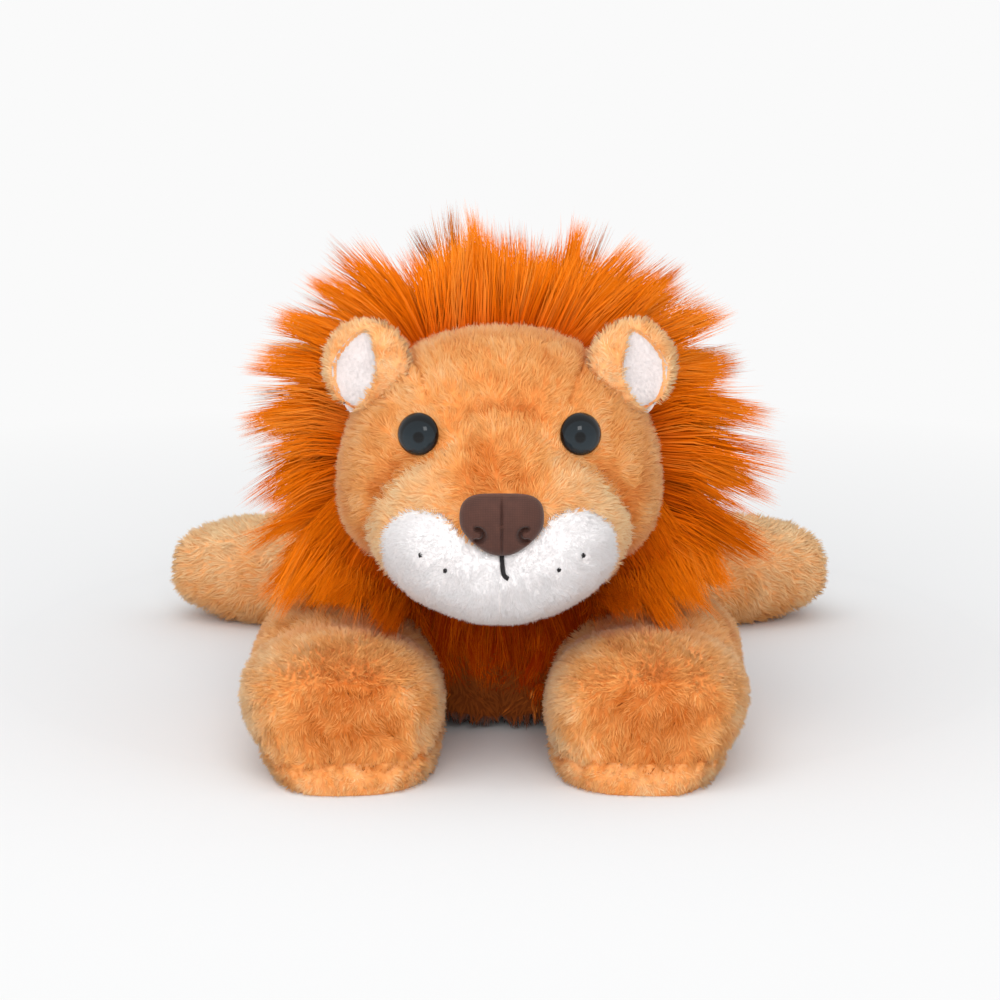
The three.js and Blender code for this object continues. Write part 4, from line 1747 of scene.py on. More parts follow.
@dataclass
class Nose:
    """The nose of smooth brown cloth, with a seam down its middle and two nostril folds."""

    centre: Place = (0.0008, -0.2003, 0.0939)
    half_width: float = 0.0143
    top: float = 0.0098
    bottom: float = 0.0112
    corners: int = 64
    flat_top: Pair = (0.5, 0.6)
    round_tip: Pair = (0.7, 0.85)
    taper: float = 0.46
    rings: tuple[Pair, ...] = (
        (0.9, -0.004), (1.0, -0.001), (1.02, 0.0018), (0.985, 0.0042), (0.88, 0.0062), (0.66, 0.0077),
        (0.36, 0.0085), (0.12, 0.0087),
    )
    nostril: Pair = (0.0082, -0.0034)
    fold_radius: float = 0.0022
    fold_depth: float = 0.0034
    fold_width: float = 0.0009
    fold_rise: float = 0.0004
    fold_end_radians: float = 2.3
    fold_run_radians: float = 0.5
    seam_depth: float = 0.0011
    seam_width: float = 0.00045
    front_from: float = 0.006

    def outline(self) -> list[Pair]:
        """The nose's outline: broad and flat above, with a narrow rounded tip below.

        Returns:
            Points across and up, round the nose.
        """
        points = []
        for corner in range(self.corners):
            angle = 2 * math.pi * (corner + 0.5) / self.corners
            level, rise = math.cos(angle), math.sin(angle)
            wide, tall = self.flat_top if rise > 0 else self.round_tip
            narrower = 1 if rise > 0 else 1 - self.taper * (-rise) ** 1.2
            reach = self.top if rise > 0 else self.bottom
            across = self.half_width * math.copysign(abs(level) ** wide, level) * narrower
            points.append((across, reach * math.copysign(abs(rise) ** tall, rise)))
        return points

    def build(self) -> None:
        """Builds the nose."""
        nose = raised("nose_cloth", self.outline(), self.rings)
        modified(nose, "SUBSURF", levels=3, render_levels=3)
        points = read(nose.data.vertices, "co")
        across, up = points[:, 0], points[:, 2]
        ahead = np.clip(-points[:, 1] / self.front_from, 0, 1)
        points[:, 1] += self.seam_depth * np.exp(-((across / self.seam_width) ** 2)) * ahead
        for side in Side:
            middle = np.array([side.value * self.nostril[0], self.nostril[1]])
            away = np.stack([across, up], axis=1) - middle
            ring = np.abs(np.linalg.norm(away, axis=1) - self.fold_radius)
            angle = np.arctan2(away[:, 1] - self.fold_rise, -side.value * away[:, 0])
            open_ = np.clip((self.fold_end_radians - np.abs(angle)) / self.fold_run_radians, 0, 1)
            fold = np.exp(-((ring / self.fold_width) ** 2)) * open_
            points[:, 1] += self.fold_depth * fold * ahead
        write(nose.data, points)
        nose.location = self.centre
        alone(nose)
        bpy.ops.object.transform_apply(location=True, rotation=True, scale=True)
        dressed(smooth(nose, 60), NOSE_CLOTH, "head", ("nose",))


@dataclass
class Eye:
    """A glossy dome with a turned rim, on its shank."""

    side: Side
    across: float = 0.0277
    ahead: float = -0.1828
    height: float = 0.121
    outward: float = math.radians(17)
    upward: float = math.radians(12)
    radius: float = 0.0075
    corners: int = 48
    rings: tuple[Pair, ...] = (
        (0.22, -0.0108), (0.23, -0.0105), (0.23, -0.0004), (0.94, -0.0001), (1.0, 0.0006), (0.985, 0.0013),
        (0.93, 0.0022), (0.82, 0.0033), (0.66, 0.0043), (0.46, 0.0051), (0.24, 0.0055), (0.06, 0.0056),
    )

    def build(self) -> None:
        """Builds the eye."""
        circle = [
            (self.radius * math.cos(turn), self.radius * math.sin(turn))
            for turn in (2 * math.pi * corner / self.corners for corner in range(self.corners))
        ]
        eye = raised(f"eye_dome_{self.side.suffix}", circle, self.rings)
        modified(eye, "SUBSURF", levels=1, render_levels=1)
        turn = Euler((-self.upward, 0, self.side.value * self.outward), "ZXY").to_matrix().to_4x4()
        place = (self.side.value * self.across, self.ahead, self.height)
        eye.matrix_world = Matrix.Translation(place) @ turn
        alone(eye)
        bpy.ops.object.transform_apply(location=True, rotation=True, scale=True)
        dressed(smooth(eye, 50), EyeGloss(), "head", (f"eye_{self.side.suffix}",))
        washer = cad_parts[f"eye_washer_{self.side.suffix}"]
        finish = WasherPlastic()
        washer.data.materials.clear()
        washer.data.materials.append(_made.setdefault(finish.name, finish.material()))


@dataclass
class Ear:
    """A cupped ear: tan pile outside and on its folded front edge, and a white lining."""

    side: Side
    across: float = 0.0465
    ahead: float = -0.1525
    height: float = 0.1392
    half: Place = (0.0156, 0.0078, 0.0162)
    outward: float = math.radians(20)
    cup_across: float = 0.0026
    cup_up: float = -0.0012
    cup_lean: float = math.radians(15)
    cup_half: Pair = (0.0088, 0.0160)
    cup_corner: float = 1.5
    cup_depth: float = 0.0068
    lining: float = 0.0007
    pile: Pile = Pile(length=0.0028)
    lining_pile: Pile = Pile(
        spacing=0.0005, length=0.0009, width=0.00024, lean=0.4, tuft=0.0014, gather=0.2, stray=0,
        softness=0.9,
    )
    root_across: float = 0.012
    root_below: float = 0.014
    back_from: float = 0.004
    back_begins: float = 0.00001
    deepest_share: float = 0.55
    rim_sinks: Pair = (1.2, 0.6)
    lined_share: float = 0.4
    tone_middle: float = 0.76
    tone_spread: float = 0.1
    tone_length: float = 0.012
    lining_tone_middle: float = 0.04
    lining_tone_spread: float = 0.05
    lining_tone_length: float = 0.01

    @property
    def body(self) -> str:
        """The body that the ear rides on."""
        return f"ear_{self.side.suffix}"

    @property
    def place(self) -> Matrix:
        """The turn and shift from the ear's own axes to the lion's."""
        turn = Matrix.Rotation(self.side.value * self.outward, 4, "Z")
        return Matrix.Translation((self.side.value * self.across, self.ahead, self.height)) @ turn

    def in_cup(self, across: np.ndarray, up: np.ndarray) -> np.ndarray:
        """How far out places are in the cup, which is a leaf that leans to the lion's middle.

        Args:
            across: Their X on the ear's own axes.
            up: Their heights on them.

        Returns:
            0 in the cup's middle and 1 at its edge.
        """
        wide, tall = across * self.side.value - self.cup_across, up - self.cup_up
        sine, cosine = math.sin(self.cup_lean), math.cos(self.cup_lean)
        return self.leaf(
            (wide * cosine + tall * sine) / self.cup_half[0],
            (tall * cosine - wide * sine) / self.cup_half[1],
        )

    def leaf(self, wide: np.ndarray, tall: np.ndarray) -> np.ndarray:
        """How far out places are in a leaf with pointed ends, of half size 1 each way."""
        return (np.abs(wide) ** self.cup_corner + np.abs(tall) ** self.cup_corner) ** (1 / self.cup_corner)

    def front(self, across: np.ndarray, up: np.ndarray) -> np.ndarray:
        """Where the ear's front is on its own axes.

        Args:
            across: Places' X.
            up: Their heights.

        Returns:
            Their Y.
        """
        out = (across / self.half[0]) ** 2 + (up / self.half[2]) ** 2
        dome = self.half[1] * np.sqrt(np.clip(1 - out, 0, 1))
        cup = np.clip(1 - self.in_cup(across, up) ** 2, 0, 1) ** 0.6
        return self.cup_depth * cup - dome

    def build(self) -> None:
        """Builds the ear and its lining."""
        suffix, sign = self.side.suffix, self.side.value
        back = ball(f"ear_plush_{suffix}", (0, 0, 0), self.half, 64, 40)
        points = read(back.data.vertices, "co")
        is_front = points[:, 1] < self.back_begins
        narrowed = np.sqrt(np.clip(1 - (points[:, 0] / self.half[0]) ** 2, 0, 1))
        limit = self.half[1] * self.deepest_share * narrowed
        carved = np.minimum(self.front(points[:, 0], points[:, 2]), limit)
        points[:, 1] = np.where(is_front, carved, points[:, 1])
        write(back.data, points)
        lining = ball(f"ear_lining_plush_{suffix}", (0, 0, 0), (1, 1, 1), 40, 20)
        points = read(lining.data.vertices, "co")
        sine, cosine = math.sin(self.cup_lean), math.cos(self.cup_lean)
        out = np.hypot(points[:, 0], points[:, 2])
        scale = out / np.maximum(self.leaf(points[:, 0], points[:, 2]), TINY)
        wide, tall = points[:, 0] * scale * self.cup_half[0], points[:, 2] * scale * self.cup_half[1]
        across = sign * (wide * cosine - tall * sine + self.cup_across)
        up = wide * sine + tall * cosine + self.cup_up
        ahead = self.lining_middle(across, up) + self.lining * points[:, 1]
        write(lining.data, np.stack([across, ahead, up], axis=1))
        with editing(lining):
            bpy.ops.mesh.normals_make_consistent(inside=False)
        away = away_from((-sign * self.root_across, 0, -self.root_below))
        Pelt(back, self.tone).add(self.pile.grow(
            back, away, self.tone, 51 + sign,
            lambda places: (places[:, 1] > self.back_from) | (self.in_cup(places[:, 0], places[:, 2]) > 0.95),
        )).placed(self.place).sew(TAN, self.body, (f"ear_back_{suffix}",), fill=0.3)
        Pelt(lining, self.lining_tone).add(self.lining_pile.grow(
            lining, away, self.lining_tone, 55 + sign, self.is_lined,
        )).placed(self.place).sew(WHITE, self.body, (f"ear_lining_{suffix}",), fill=0.3)

    def lining_middle(self, across: np.ndarray, up: np.ndarray) -> np.ndarray:
        """The Y of the lining's middle layer, which dips into the tan cloth at its rim."""
        rim = np.clip(self.in_cup(across, up), 0, 1) ** 2
        at_rim, in_middle = self.rim_sinks
        return self.front(across, up) + self.lining * (at_rim * rim - in_middle)

    def is_lined(self, places: np.ndarray) -> np.ndarray:
        """Where the lining faces ahead."""
        middle = self.lining_middle(places[:, 0], places[:, 2])
        return places[:, 1] < middle - self.lined_share * self.lining

    def tone(self, places: np.ndarray) -> np.ndarray:
        """The tan pile's tone."""
        return self.tone_middle + self.tone_spread * drift(places, self.tone_length, 52)

    def lining_tone(self, places: np.ndarray) -> np.ndarray:
        """The lining's tone."""
        return self.lining_tone_middle + self.lining_tone_spread * drift(places, self.lining_tone_length, 53)


@dataclass(frozen=True)
class Lock:
    """One size of locks: how far their tips meet, how they stray, and how pointed they are."""

    size: float
    gather: float
    stray: float
    uneven: float = 0.0
    pointed: float = 0.0


@dataclass(frozen=True)
class LongPile:
    """The mane's pile: long tapered strands in pointed locks."""

    width: float = 0.00023
    locks: tuple[Lock, ...] = (Lock(0.015, 0.7, 0.0048, 0.07, 0.5), Lock(0.0052, 0.4, 0.002, 0.04, 0.2))
    flat: float = 0.5
    curl: float = 1.5
    loose_share: float = 0.33
    loose_gather_share: float = 0.2
    loose_length_share: float = 0.76
    loose_length_shares: Pair = (0.8, 1.1)
    bend_share: float = 0.4
    uneven: float = 0.13
    fluff: float = 0.0015
    softness: float = 0.85
    full_share: float = 0.72
    longest_share: float = 1.03
    stops: tuple[float, ...] = (0, 0.5, 1)
    taper_share: float = 0.75
    width_shares: Pair = (0.7, 1.3)
    mottle: float = 0.06
    tone_spread: float = 0.1
    tone_length: float = 0.009

    def flattened(self, places: np.ndarray) -> np.ndarray:
        """Places drawn together from front to back, which makes locks that are deeper than wide."""
        return places * np.array([1, self.flat, 1])

    def shares(self, places: np.ndarray, rng: np.random.Generator) -> np.ndarray:
        """How much of its length each strand has: less at its lock's rim, so that the lock is pointed.

        Args:
            places: The strands' roots.
            rng: The source of chance.

        Returns:
            The shares, as a column.
        """
        share = 1 - self.uneven * np.abs(rng.normal(size=(len(places), 1)))
        for lock in self.locks:
            tuft = tufts(self.flattened(places), lock.size)
            count = np.bincount(tuft)
            middle = np.stack([np.bincount(tuft, places[:, k]) / count for k in range(3)], axis=1)
            out = lengths(places - middle[tuft]) / lock.size
            share *= 1 - lock.pointed * np.clip(2 * out - 0.3, 0, 1)
            share *= 1 + lock.uneven * rng.normal(size=len(count))[tuft][:, None]
        return np.minimum(share / np.quantile(share, self.full_share), self.longest_share)

    def grow(
        self, roots: Roots, start: np.ndarray, end: np.ndarray, facing: np.ndarray, tones: np.ndarray,
        seed: int,
    ) -> Strands:
        """Grows strands that leave their roots one way and end another.

        Args:
            roots: The roots.
            start: For each strand, the way to its bend, with its length.
            end: For each strand, the way from its root to its tip.
            facing: For each strand, the direction that its light is taken from.
            tones: For each strand, its tone.
            seed: Picks the strands.

        Returns:
            The strands.
        """
        rng = np.random.default_rng(seed)
        count = len(roots.places)
        share = self.shares(roots.places, rng)
        flattened = self.flattened(roots.places)
        bends, tips = roots.places + start, roots.places + end
        loose = rng.random((count, 1)) < self.loose_share
        for lock in self.locks:
            gather = lock.gather * np.where(loose, self.loose_gather_share, 1)
            tips = drawn_together(tips, flattened, lock.size, gather, rng, lock.stray)
            stray = lock.stray * self.curl
            bends = drawn_together(bends, flattened, lock.size, gather * self.bend_share, rng, stray)
        loose_share = self.loose_length_share * rng.uniform(*self.loose_length_shares, (count, 1))
        share = np.where(loose, loose_share, share)
        tips = roots.places + (tips - roots.places) * share + self.fluff * rng.normal(size=(count, 3))
        fluff = self.fluff * self.bend_share * rng.normal(size=(count, 3))
        bends = roots.places + (bends - roots.places) * share + fluff
        paths = []
        for t in self.stops:
            paths.append((1 - t) ** 2 * roots.places + 2 * t * (1 - t) * bends + t * t * tips)
        taper = np.linspace(1, self.taper_share, len(self.stops) - 1)
        widths = self.width * taper * rng.uniform(*self.width_shares, (count, 1))
        clouds = self.tone_spread * drift(roots.places, self.tone_length, seed)
        tones = tones + self.mottle * rng.normal(size=count) + clouds
        return Strands(np.stack(paths, axis=1), widths, tones, facing, self.softness, rng)


@dataclass
class Mane:
    """The mane: a hood of long pile behind the face, and panels on the shoulders, chest and withers."""

    centre: Place = (0, -0.124, 0.102)
    half: Place = (0.0545, 0.066, 0.0485)
    middle: float = 0.104
    spread_degrees: tuple[float, ...] = (0, 20, 40, 60, 83, 103, 113, 119, 125, 130, 138, 143, 160, 180)
    spread: tuple[float, ...] = (
        0.087, 0.088, 0.092, 0.095, 0.098, 0.098, 0.098, 0.1, 0.1, 0.094, 0.092, 0.091, 0.09, 0.088,
    )
    forward: float = math.radians(-16)
    backward: float = math.radians(46)
    rear: float = -0.04
    least_out_share: float = 0.25
    least_back_share: float = 0.05
    shortest: float = 0.006
    longest: float = 0.054
    droop: float = 0.12
    lift: float = 0.25
    swirl: float = 0.16
    swirl_length: float = 0.035
    crown_to: float = math.radians(61)
    front_cut: float = 0.004
    back_cut: float = -0.066
    back_pile_from: float = -0.0675
    low_cut: Place = (0, -0.07, 0.078)
    low_cut_way: Place = (0, 0.35, -1)
    side_gap: float = 0.0002
    skin_share: float = 0.985
    spacing: float = 0.0006
    tone_middle: float = 0.47
    front_tone: float = 0.06
    # Painted shade: how much darker the mane is round the lower face
    low_painted_shade: float = 0.2
    tone_spread: float = 0.08
    tone_length: float = 0.02
    fringe_degrees: Pair = (98, 182)
    fringe_radius: Pair = (0.038, 0.049)
    fringe_ahead: Pair = (-0.138, -0.118)
    fringe_length: Pair = (0.026, 0.038)
    fringe_tones: Pair = (0.36, 0.3)
    # Painted shade: from which angle the fringe darkens towards the chin, and over how far
    fringe_shade_from: float = 110
    fringe_shade_run: float = 40
    fringe_count: int = 5600
    panel_voxel: float = 0.004
    shoulder_inset: float = 0.008
    shoulder_low: float = 0.05
    shoulder_wide: float = 0.076
    shoulder_spacing: float = 0.00105
    shoulder_length: Pair = (0.018, 0.03)
    shoulder_tone: float = 0.5
    bib_inset: float = 0.004
    bib_thick: float = 0.006
    bib_length: Pair = (0.018, 0.03)
    # Painted shade: the bib under the chin is kept dark, as if in shadow
    bib_shaded_tone: float = 0.05
    bib_tone_length: float = 0.012
    nape_inset: float = 0.003
    nape_spacing: float = 0.0013
    nape_low: float = 0.044
    nape_length: Pair = (0.016, 0.024)
    nape_turn_at: float = -0.042
    nape_turn_run: float = 0.022
    nape_half: float = 0.05
    nape_tone: float = 0.44
    panel_tone_spread: float = 0.1
    bib_count: int = 5200
    bib_across: Pair = (0.0004, 0.034)
    bib_height: Pair = (0.014, 0.066)
    bib_ahead: float = -0.13
    bib_bottom: float = 0.016
    drape_count: int = 4200
    drape_degrees: Pair = (104, 152)
    drape_radius: Pair = (0.046, 0.058)
    drape_roots: Pair = (-0.112, -0.096)
    drape_across: Pair = (0.086, 0.034)
    drape_scatter: float = 0.005
    drape_run: float = 0.04
    drape_ahead: float = -0.14
    drape_forward: float = 0.038
    drape_depth: float = 0.008
    drape_height: float = 0.053
    drape_fall: float = 0.006
    drape_stops: Place = (104, 128, 152)
    drape_tones: Place = (0.5, 0.42, 0.16)
    drape_low_from: float = 0.042
    drape_low_run: float = 0.01
    pile: LongPile = LongPile()
    seed: int = 71

    def build(self) -> None:
        """Builds all panels."""
        self.build_crown()
        for side in Side:
            self.build_side(side)
            self.build_shoulder(side)
            self.build_bib(side)
        self.build_nape()

    def angle(self, places: np.ndarray) -> np.ndarray:
        """The angle of places round the face, from straight up, towards +X."""
        return np.arctan2(places[:, 0], places[:, 2] - self.middle)

    def room(self, places: np.ndarray, way: np.ndarray) -> np.ndarray:
        """How far strands can go before they leave the mane's outline.

        Args:
            places: The strands' roots.
            way: Their directions.

        Returns:
            The lengths, as a column.
        """
        angle = self.angle(places)
        full = np.interp(np.degrees(np.abs(angle)), self.spread_degrees, self.spread)
        radial = way[:, 0] * np.sin(angle) + way[:, 2] * np.cos(angle)
        here = np.hypot(places[:, 0], places[:, 2] - self.middle)
        out = (full - here) / np.maximum(radial, self.least_out_share)
        back = (self.rear - places[:, 1]) / np.maximum(way[:, 1], self.least_back_share)
        return np.clip(np.minimum(out, back), self.shortest, self.longest)[:, None]

    def hood(self, name: str) -> bpy.types.Object:
        """The rounded back of the head, from which the pile grows.

        Args:
            name: The object's name.

        Returns:
            The object, cut off in front and below.
        """
        skin = ball(name, self.centre, self.half, 96, 48)
        sliced(skin, (0, self.centre[1] - self.front_cut, 0), (0, -1, 0))
        sliced(skin, (0, self.back_cut, 0), (0, 1, 0))
        return sliced(skin, self.low_cut, self.low_cut_way)

    def roots_on(self, skin: bpy.types.Object, seed: int) -> Roots:
        """The roots on the hood's round outside and its back.

        Args:
            skin: A panel of the hood.
            seed: Picks the roots.

        Returns:
            The roots.
        """
        roots = Roots.on(skin, self.spacing, np.random.default_rng(seed))
        outside = within(roots.places, self.centre, self.half) > self.skin_share
        return roots.kept(outside | (roots.places[:, 1] > self.back_pile_from))

    def strands(self, roots: Roots, seed: int) -> Strands:
        """Strands that stand out round the face and lean back behind it.

        Args:
            roots: Their roots.
            seed: Picks the strands.

        Returns:
            The strands.
        """
        places = roots.places
        angle = self.angle(places)
        angle = angle + self.swirl * drift(places, self.swirl_length, seed + 5)
        radial = np.stack([np.sin(angle), np.zeros_like(angle), np.cos(angle)], axis=1)
        depth = np.clip((places[:, 1] - self.centre[1]) / (self.back_cut - self.centre[1]), 0, 1)
        tilt = self.forward + (self.backward - self.forward) * depth**0.8
        way = radial * np.cos(tilt)[:, None] + np.array([0, 1, 0]) * np.sin(tilt)[:, None]
        reach = self.room(places, way)
        end = way * reach
        sideways = np.abs(np.sin(angle))[:, None]
        end[:, 2:] -= self.droop * reach * sideways
        lifted = np.array([0, 0, self.lift]) * sideways
        start = unit(way + 0.3 * roots.normals + lifted) * reach * 0.5
        front = np.array([0, 1, 0]) * -np.cos(math.pi * depth)[:, None]
        facing = unit(0.6 * radial + front)
        # Painted shade: the pile darkens towards the chin, round the lower face
        low = np.clip((np.abs(np.degrees(angle)) - 80) / 70, 0, 1) * (1 - depth)
        tones = self.tone_middle + self.front_tone * (1 - depth) - self.low_painted_shade * low
        tones = tones + self.tone_spread * drift(places, self.tone_length, seed + 1)
        return self.pile.grow(roots, start, end, facing, tones, seed)

    def build_crown(self) -> None:
        """Builds the panel above the face."""
        skin = self.hood("mane_crown_pile")
        for sign in (-1, 1):
            away = (sign * math.cos(self.crown_to), 0, -math.sin(self.crown_to))
            sliced(skin, (0, 0, self.middle), away)
        roots = self.roots_on(skin, self.seed)
        Pelt(skin, dark).add(self.strands(roots, self.seed)).sew(MANE, "head", ("mane_crown",), fill=None)

    def build_side(self, side: Side) -> None:
        """Builds the panel beside the face, with the fringe below the cheek.

        Args:
            side: The lion's side.
        """
        seed = self.seed + 10 * side.value
        skin = self.hood(f"mane_side_pile_{side.suffix}")
        sign = side.value
        sliced(skin, (0, 0, self.middle), (-sign * math.cos(self.crown_to), 0, math.sin(self.crown_to)))
        sliced(skin, (sign * self.side_gap, 0, 0), (-sign, 0, 0))
        roots = self.roots_on(skin, seed)
        pelt = Pelt(skin, dark).add(self.strands(roots, seed))
        pelt.add(self.fringe(side, seed + 3))
        pelt.sew(MANE, "head", (f"mane_side_{side.suffix}",), fill=None)

    def fringe(self, side: Side, seed: int) -> Strands:
        """The pile that hangs from the cheek and the chin.

        Args:
            side: The lion's side.
            seed: Picks the strands.

        Returns:
            The strands.
        """
        rng = np.random.default_rng(seed)
        turn = rng.uniform(*self.fringe_degrees, self.fringe_count)
        angle = side.value * np.radians(turn)
        radius = rng.uniform(*self.fringe_radius, self.fringe_count)
        radial = np.stack([np.sin(angle), np.zeros_like(angle), np.cos(angle)], axis=1)
        places = radial * radius[:, None] + np.array([0, 0, self.centre[2]])
        places[:, 1] = rng.uniform(*self.fringe_ahead, self.fringe_count)
        way = unit(radial + np.array([0, -0.2, -0.6]))
        reach = np.minimum(rng.uniform(*self.fringe_length, (self.fringe_count, 1)), self.room(places, way))
        start = unit(radial + np.array([0, -0.3, 0])) * reach * 0.45
        facing = unit(0.5 * radial + np.array([0, -1, 0]))
        # Painted shade: the fringe is darker towards the chin
        at_cheek, chin_shade = self.fringe_tones
        tones = at_cheek - chin_shade * np.clip((turn - self.fringe_shade_from) / self.fringe_shade_run, 0, 1)
        return self.pile.grow(Roots(places, radial), start, way * reach, facing, tones, seed)

    def panel(self, name: str, node: str, inset: float) -> bpy.types.Object:
        """A panel's skin, inside the form of its node.

        Args:
            name: The object's name.
            node: The node.
            inset: How far inside it lies.

        Returns:
            The object.
        """
        skin = hull_round(name, node)
        skin.data.remesh_voxel_size = self.panel_voxel
        alone(skin)
        bpy.ops.object.voxel_remesh()
        with editing(skin):
            bpy.ops.transform.shrink_fatten(value=-inset)
        return modified(skin, "SMOOTH", iterations=6, factor=0.5)

    def build_shoulder(self, side: Side) -> None:
        """Builds the pile that lies on a shoulder.

        Args:
            side: The lion's side.
        """
        seed = self.seed + 40 + side.value
        node = f"mane_shoulder_{side.suffix}"
        skin = self.panel(f"mane_shoulder_pile_{side.suffix}", node, self.shoulder_inset)
        sliced(skin, (0, 0, self.shoulder_low), (0, 0, -1))
        sliced(skin, (side.value * self.shoulder_wide, 0, 0), (side.value, 0, 0))
        roots = Roots.on(skin, self.shoulder_spacing, np.random.default_rng(seed))
        roots = roots.kept(roots.normals[:, 2] > -0.6)
        way = unit(np.array([side.value * 0.55, -0.15, -0.75]) + 0.4 * roots.normals)
        rng = np.random.default_rng(seed + 1)
        reach = np.minimum(rng.uniform(*self.shoulder_length, (len(way), 1)), self.room(roots.places, way))
        clouds = self.panel_tone_spread * drift(roots.places, self.tone_length, seed)
        tones = np.full(len(way), self.shoulder_tone) + clouds
        facing = unit(roots.normals + np.array([0, -0.6, 0.2]))
        start = unit(way + roots.normals) * reach * 0.5
        strands = self.pile.grow(roots, start, way * reach, facing, tones, seed)
        pelt = Pelt(skin, dark).add(strands).add(self.drape(side, seed + 2))
        pelt.sew(MANE, "torso", (node,), fill=None)

    def drape(self, side: Side, seed: int) -> Strands:
        """The pile that falls ahead from a shoulder and lies on the arm.

        Args:
            side: The lion's side.
            seed: Picks the strands.

        Returns:
            The strands.
        """
        rng = np.random.default_rng(seed)
        turn = rng.uniform(*self.drape_degrees, self.drape_count)
        angle = side.value * np.radians(turn)
        radial = np.stack([np.sin(angle), np.zeros_like(angle), np.cos(angle)], axis=1)
        radius = rng.uniform(*self.drape_radius, (self.drape_count, 1))
        places = radial * radius + np.array([0, 0, self.centre[2]])
        places[:, 1] = rng.uniform(*self.drape_roots, self.drape_count)
        scatter = self.drape_scatter * rng.normal(size=self.drape_count)
        across = np.interp(turn, self.drape_degrees, self.drape_across) + scatter
        inward = np.clip((self.drape_across[0] - across) / self.drape_run, 0, 1)
        lower = np.clip((self.drape_low_from - across) / self.drape_low_run, 0, 1)
        thick = self.drape_depth * rng.random(self.drape_count)
        ahead = self.drape_ahead - self.drape_forward * inward + thick
        tips = np.stack([side.value * across, ahead, self.drape_height - self.drape_fall * lower], axis=1)
        way = unit(radial + np.array([0, -0.7, 0.2]))
        reach = lengths(tips - places)
        tones = np.interp(turn, self.drape_stops, self.drape_tones)
        facing = unit(radial * 0.4 + np.array([0, -1, 0.6]))
        return self.pile.grow(Roots(places, radial), way * reach * 0.4, tips - places, facing, tones, seed)

    def build_bib(self, side: Side) -> None:
        """Builds half of the pile that hangs on the chest, towards the parting.

        Args:
            side: The lion's side.
        """
        seed = self.seed + 60 + side.value
        skin = self.panel(f"mane_bib_pile_{side.suffix}", f"mane_bib_{side.suffix}", self.bib_inset)
        rng = np.random.default_rng(seed)
        across = rng.uniform(*self.bib_across, self.bib_count)
        height = rng.uniform(*self.bib_height, self.bib_count)
        depth = self.bib_ahead + self.bib_thick * rng.random(self.bib_count)
        places = np.stack([side.value * across, depth, height], axis=1)
        reach = np.minimum(rng.uniform(*self.bib_length, self.bib_count), height - self.bib_bottom)[:, None]
        inward = -side.value * (0.1 + 0.3 * across / self.bib_across[1])
        way = unit(np.stack([inward, np.full(self.bib_count, -0.2), np.full(self.bib_count, -1.0)], axis=1))
        ahead = np.broadcast_to(np.array([0, -1.0, 0.2]), places.shape)
        # Painted shade: a dark tone for the shadow under the chin
        tones = self.bib_shaded_tone + self.tone_spread * drift(places, self.bib_tone_length, seed)
        start = unit(way + 0.8 * ahead) * reach * 0.4
        strands = self.pile.grow(Roots(places, ahead), start, way * reach, unit(ahead), tones, seed)
        Pelt(skin, dark).add(strands).sew(MANE, "torso", (f"mane_bib_{side.suffix}",), fill=None)

    def build_nape(self) -> None:
        """Builds the pile on the withers."""
        seed = self.seed + 80
        skin = self.panel("mane_nape_pile", "mane_nape", self.nape_inset)
        roots = Roots.on(skin, self.nape_spacing, np.random.default_rng(seed))
        outside = roots.normals @ np.array([0, 0.2, 1]) > -0.25
        roots = roots.kept(outside & (roots.places[:, 2] > self.nape_low))
        rng = np.random.default_rng(seed + 1)
        reach = rng.uniform(*self.nape_length, (len(roots.places), 1))
        aside = np.array([0.35, 0, 0]) * roots.places[:, :1] / self.nape_half
        behind = np.clip((roots.places[:, 1] - self.nape_turn_at) / self.nape_turn_run, 0, 1)[:, None]
        turned = np.array([0, -0.7, 0.35]) + behind * np.array([0, 1.7, -0.63])
        way = unit(turned + aside + 0.3 * roots.normals)
        tones = self.nape_tone + self.panel_tone_spread * drift(roots.places, self.tone_length, seed + 2)
        start = unit(way + roots.normals) * reach * 0.45
        strands = self.pile.grow(roots, start, way * reach, roots.normals, tones, seed)
        Pelt(skin, dark).add(strands).sew(MANE, "torso", ("mane_nape",), fill=None)


def dark(places: np.ndarray) -> np.ndarray:
    """The dark tone of the skin under the mane."""
    return np.full(len(places), UNDER_MANE_TONE)


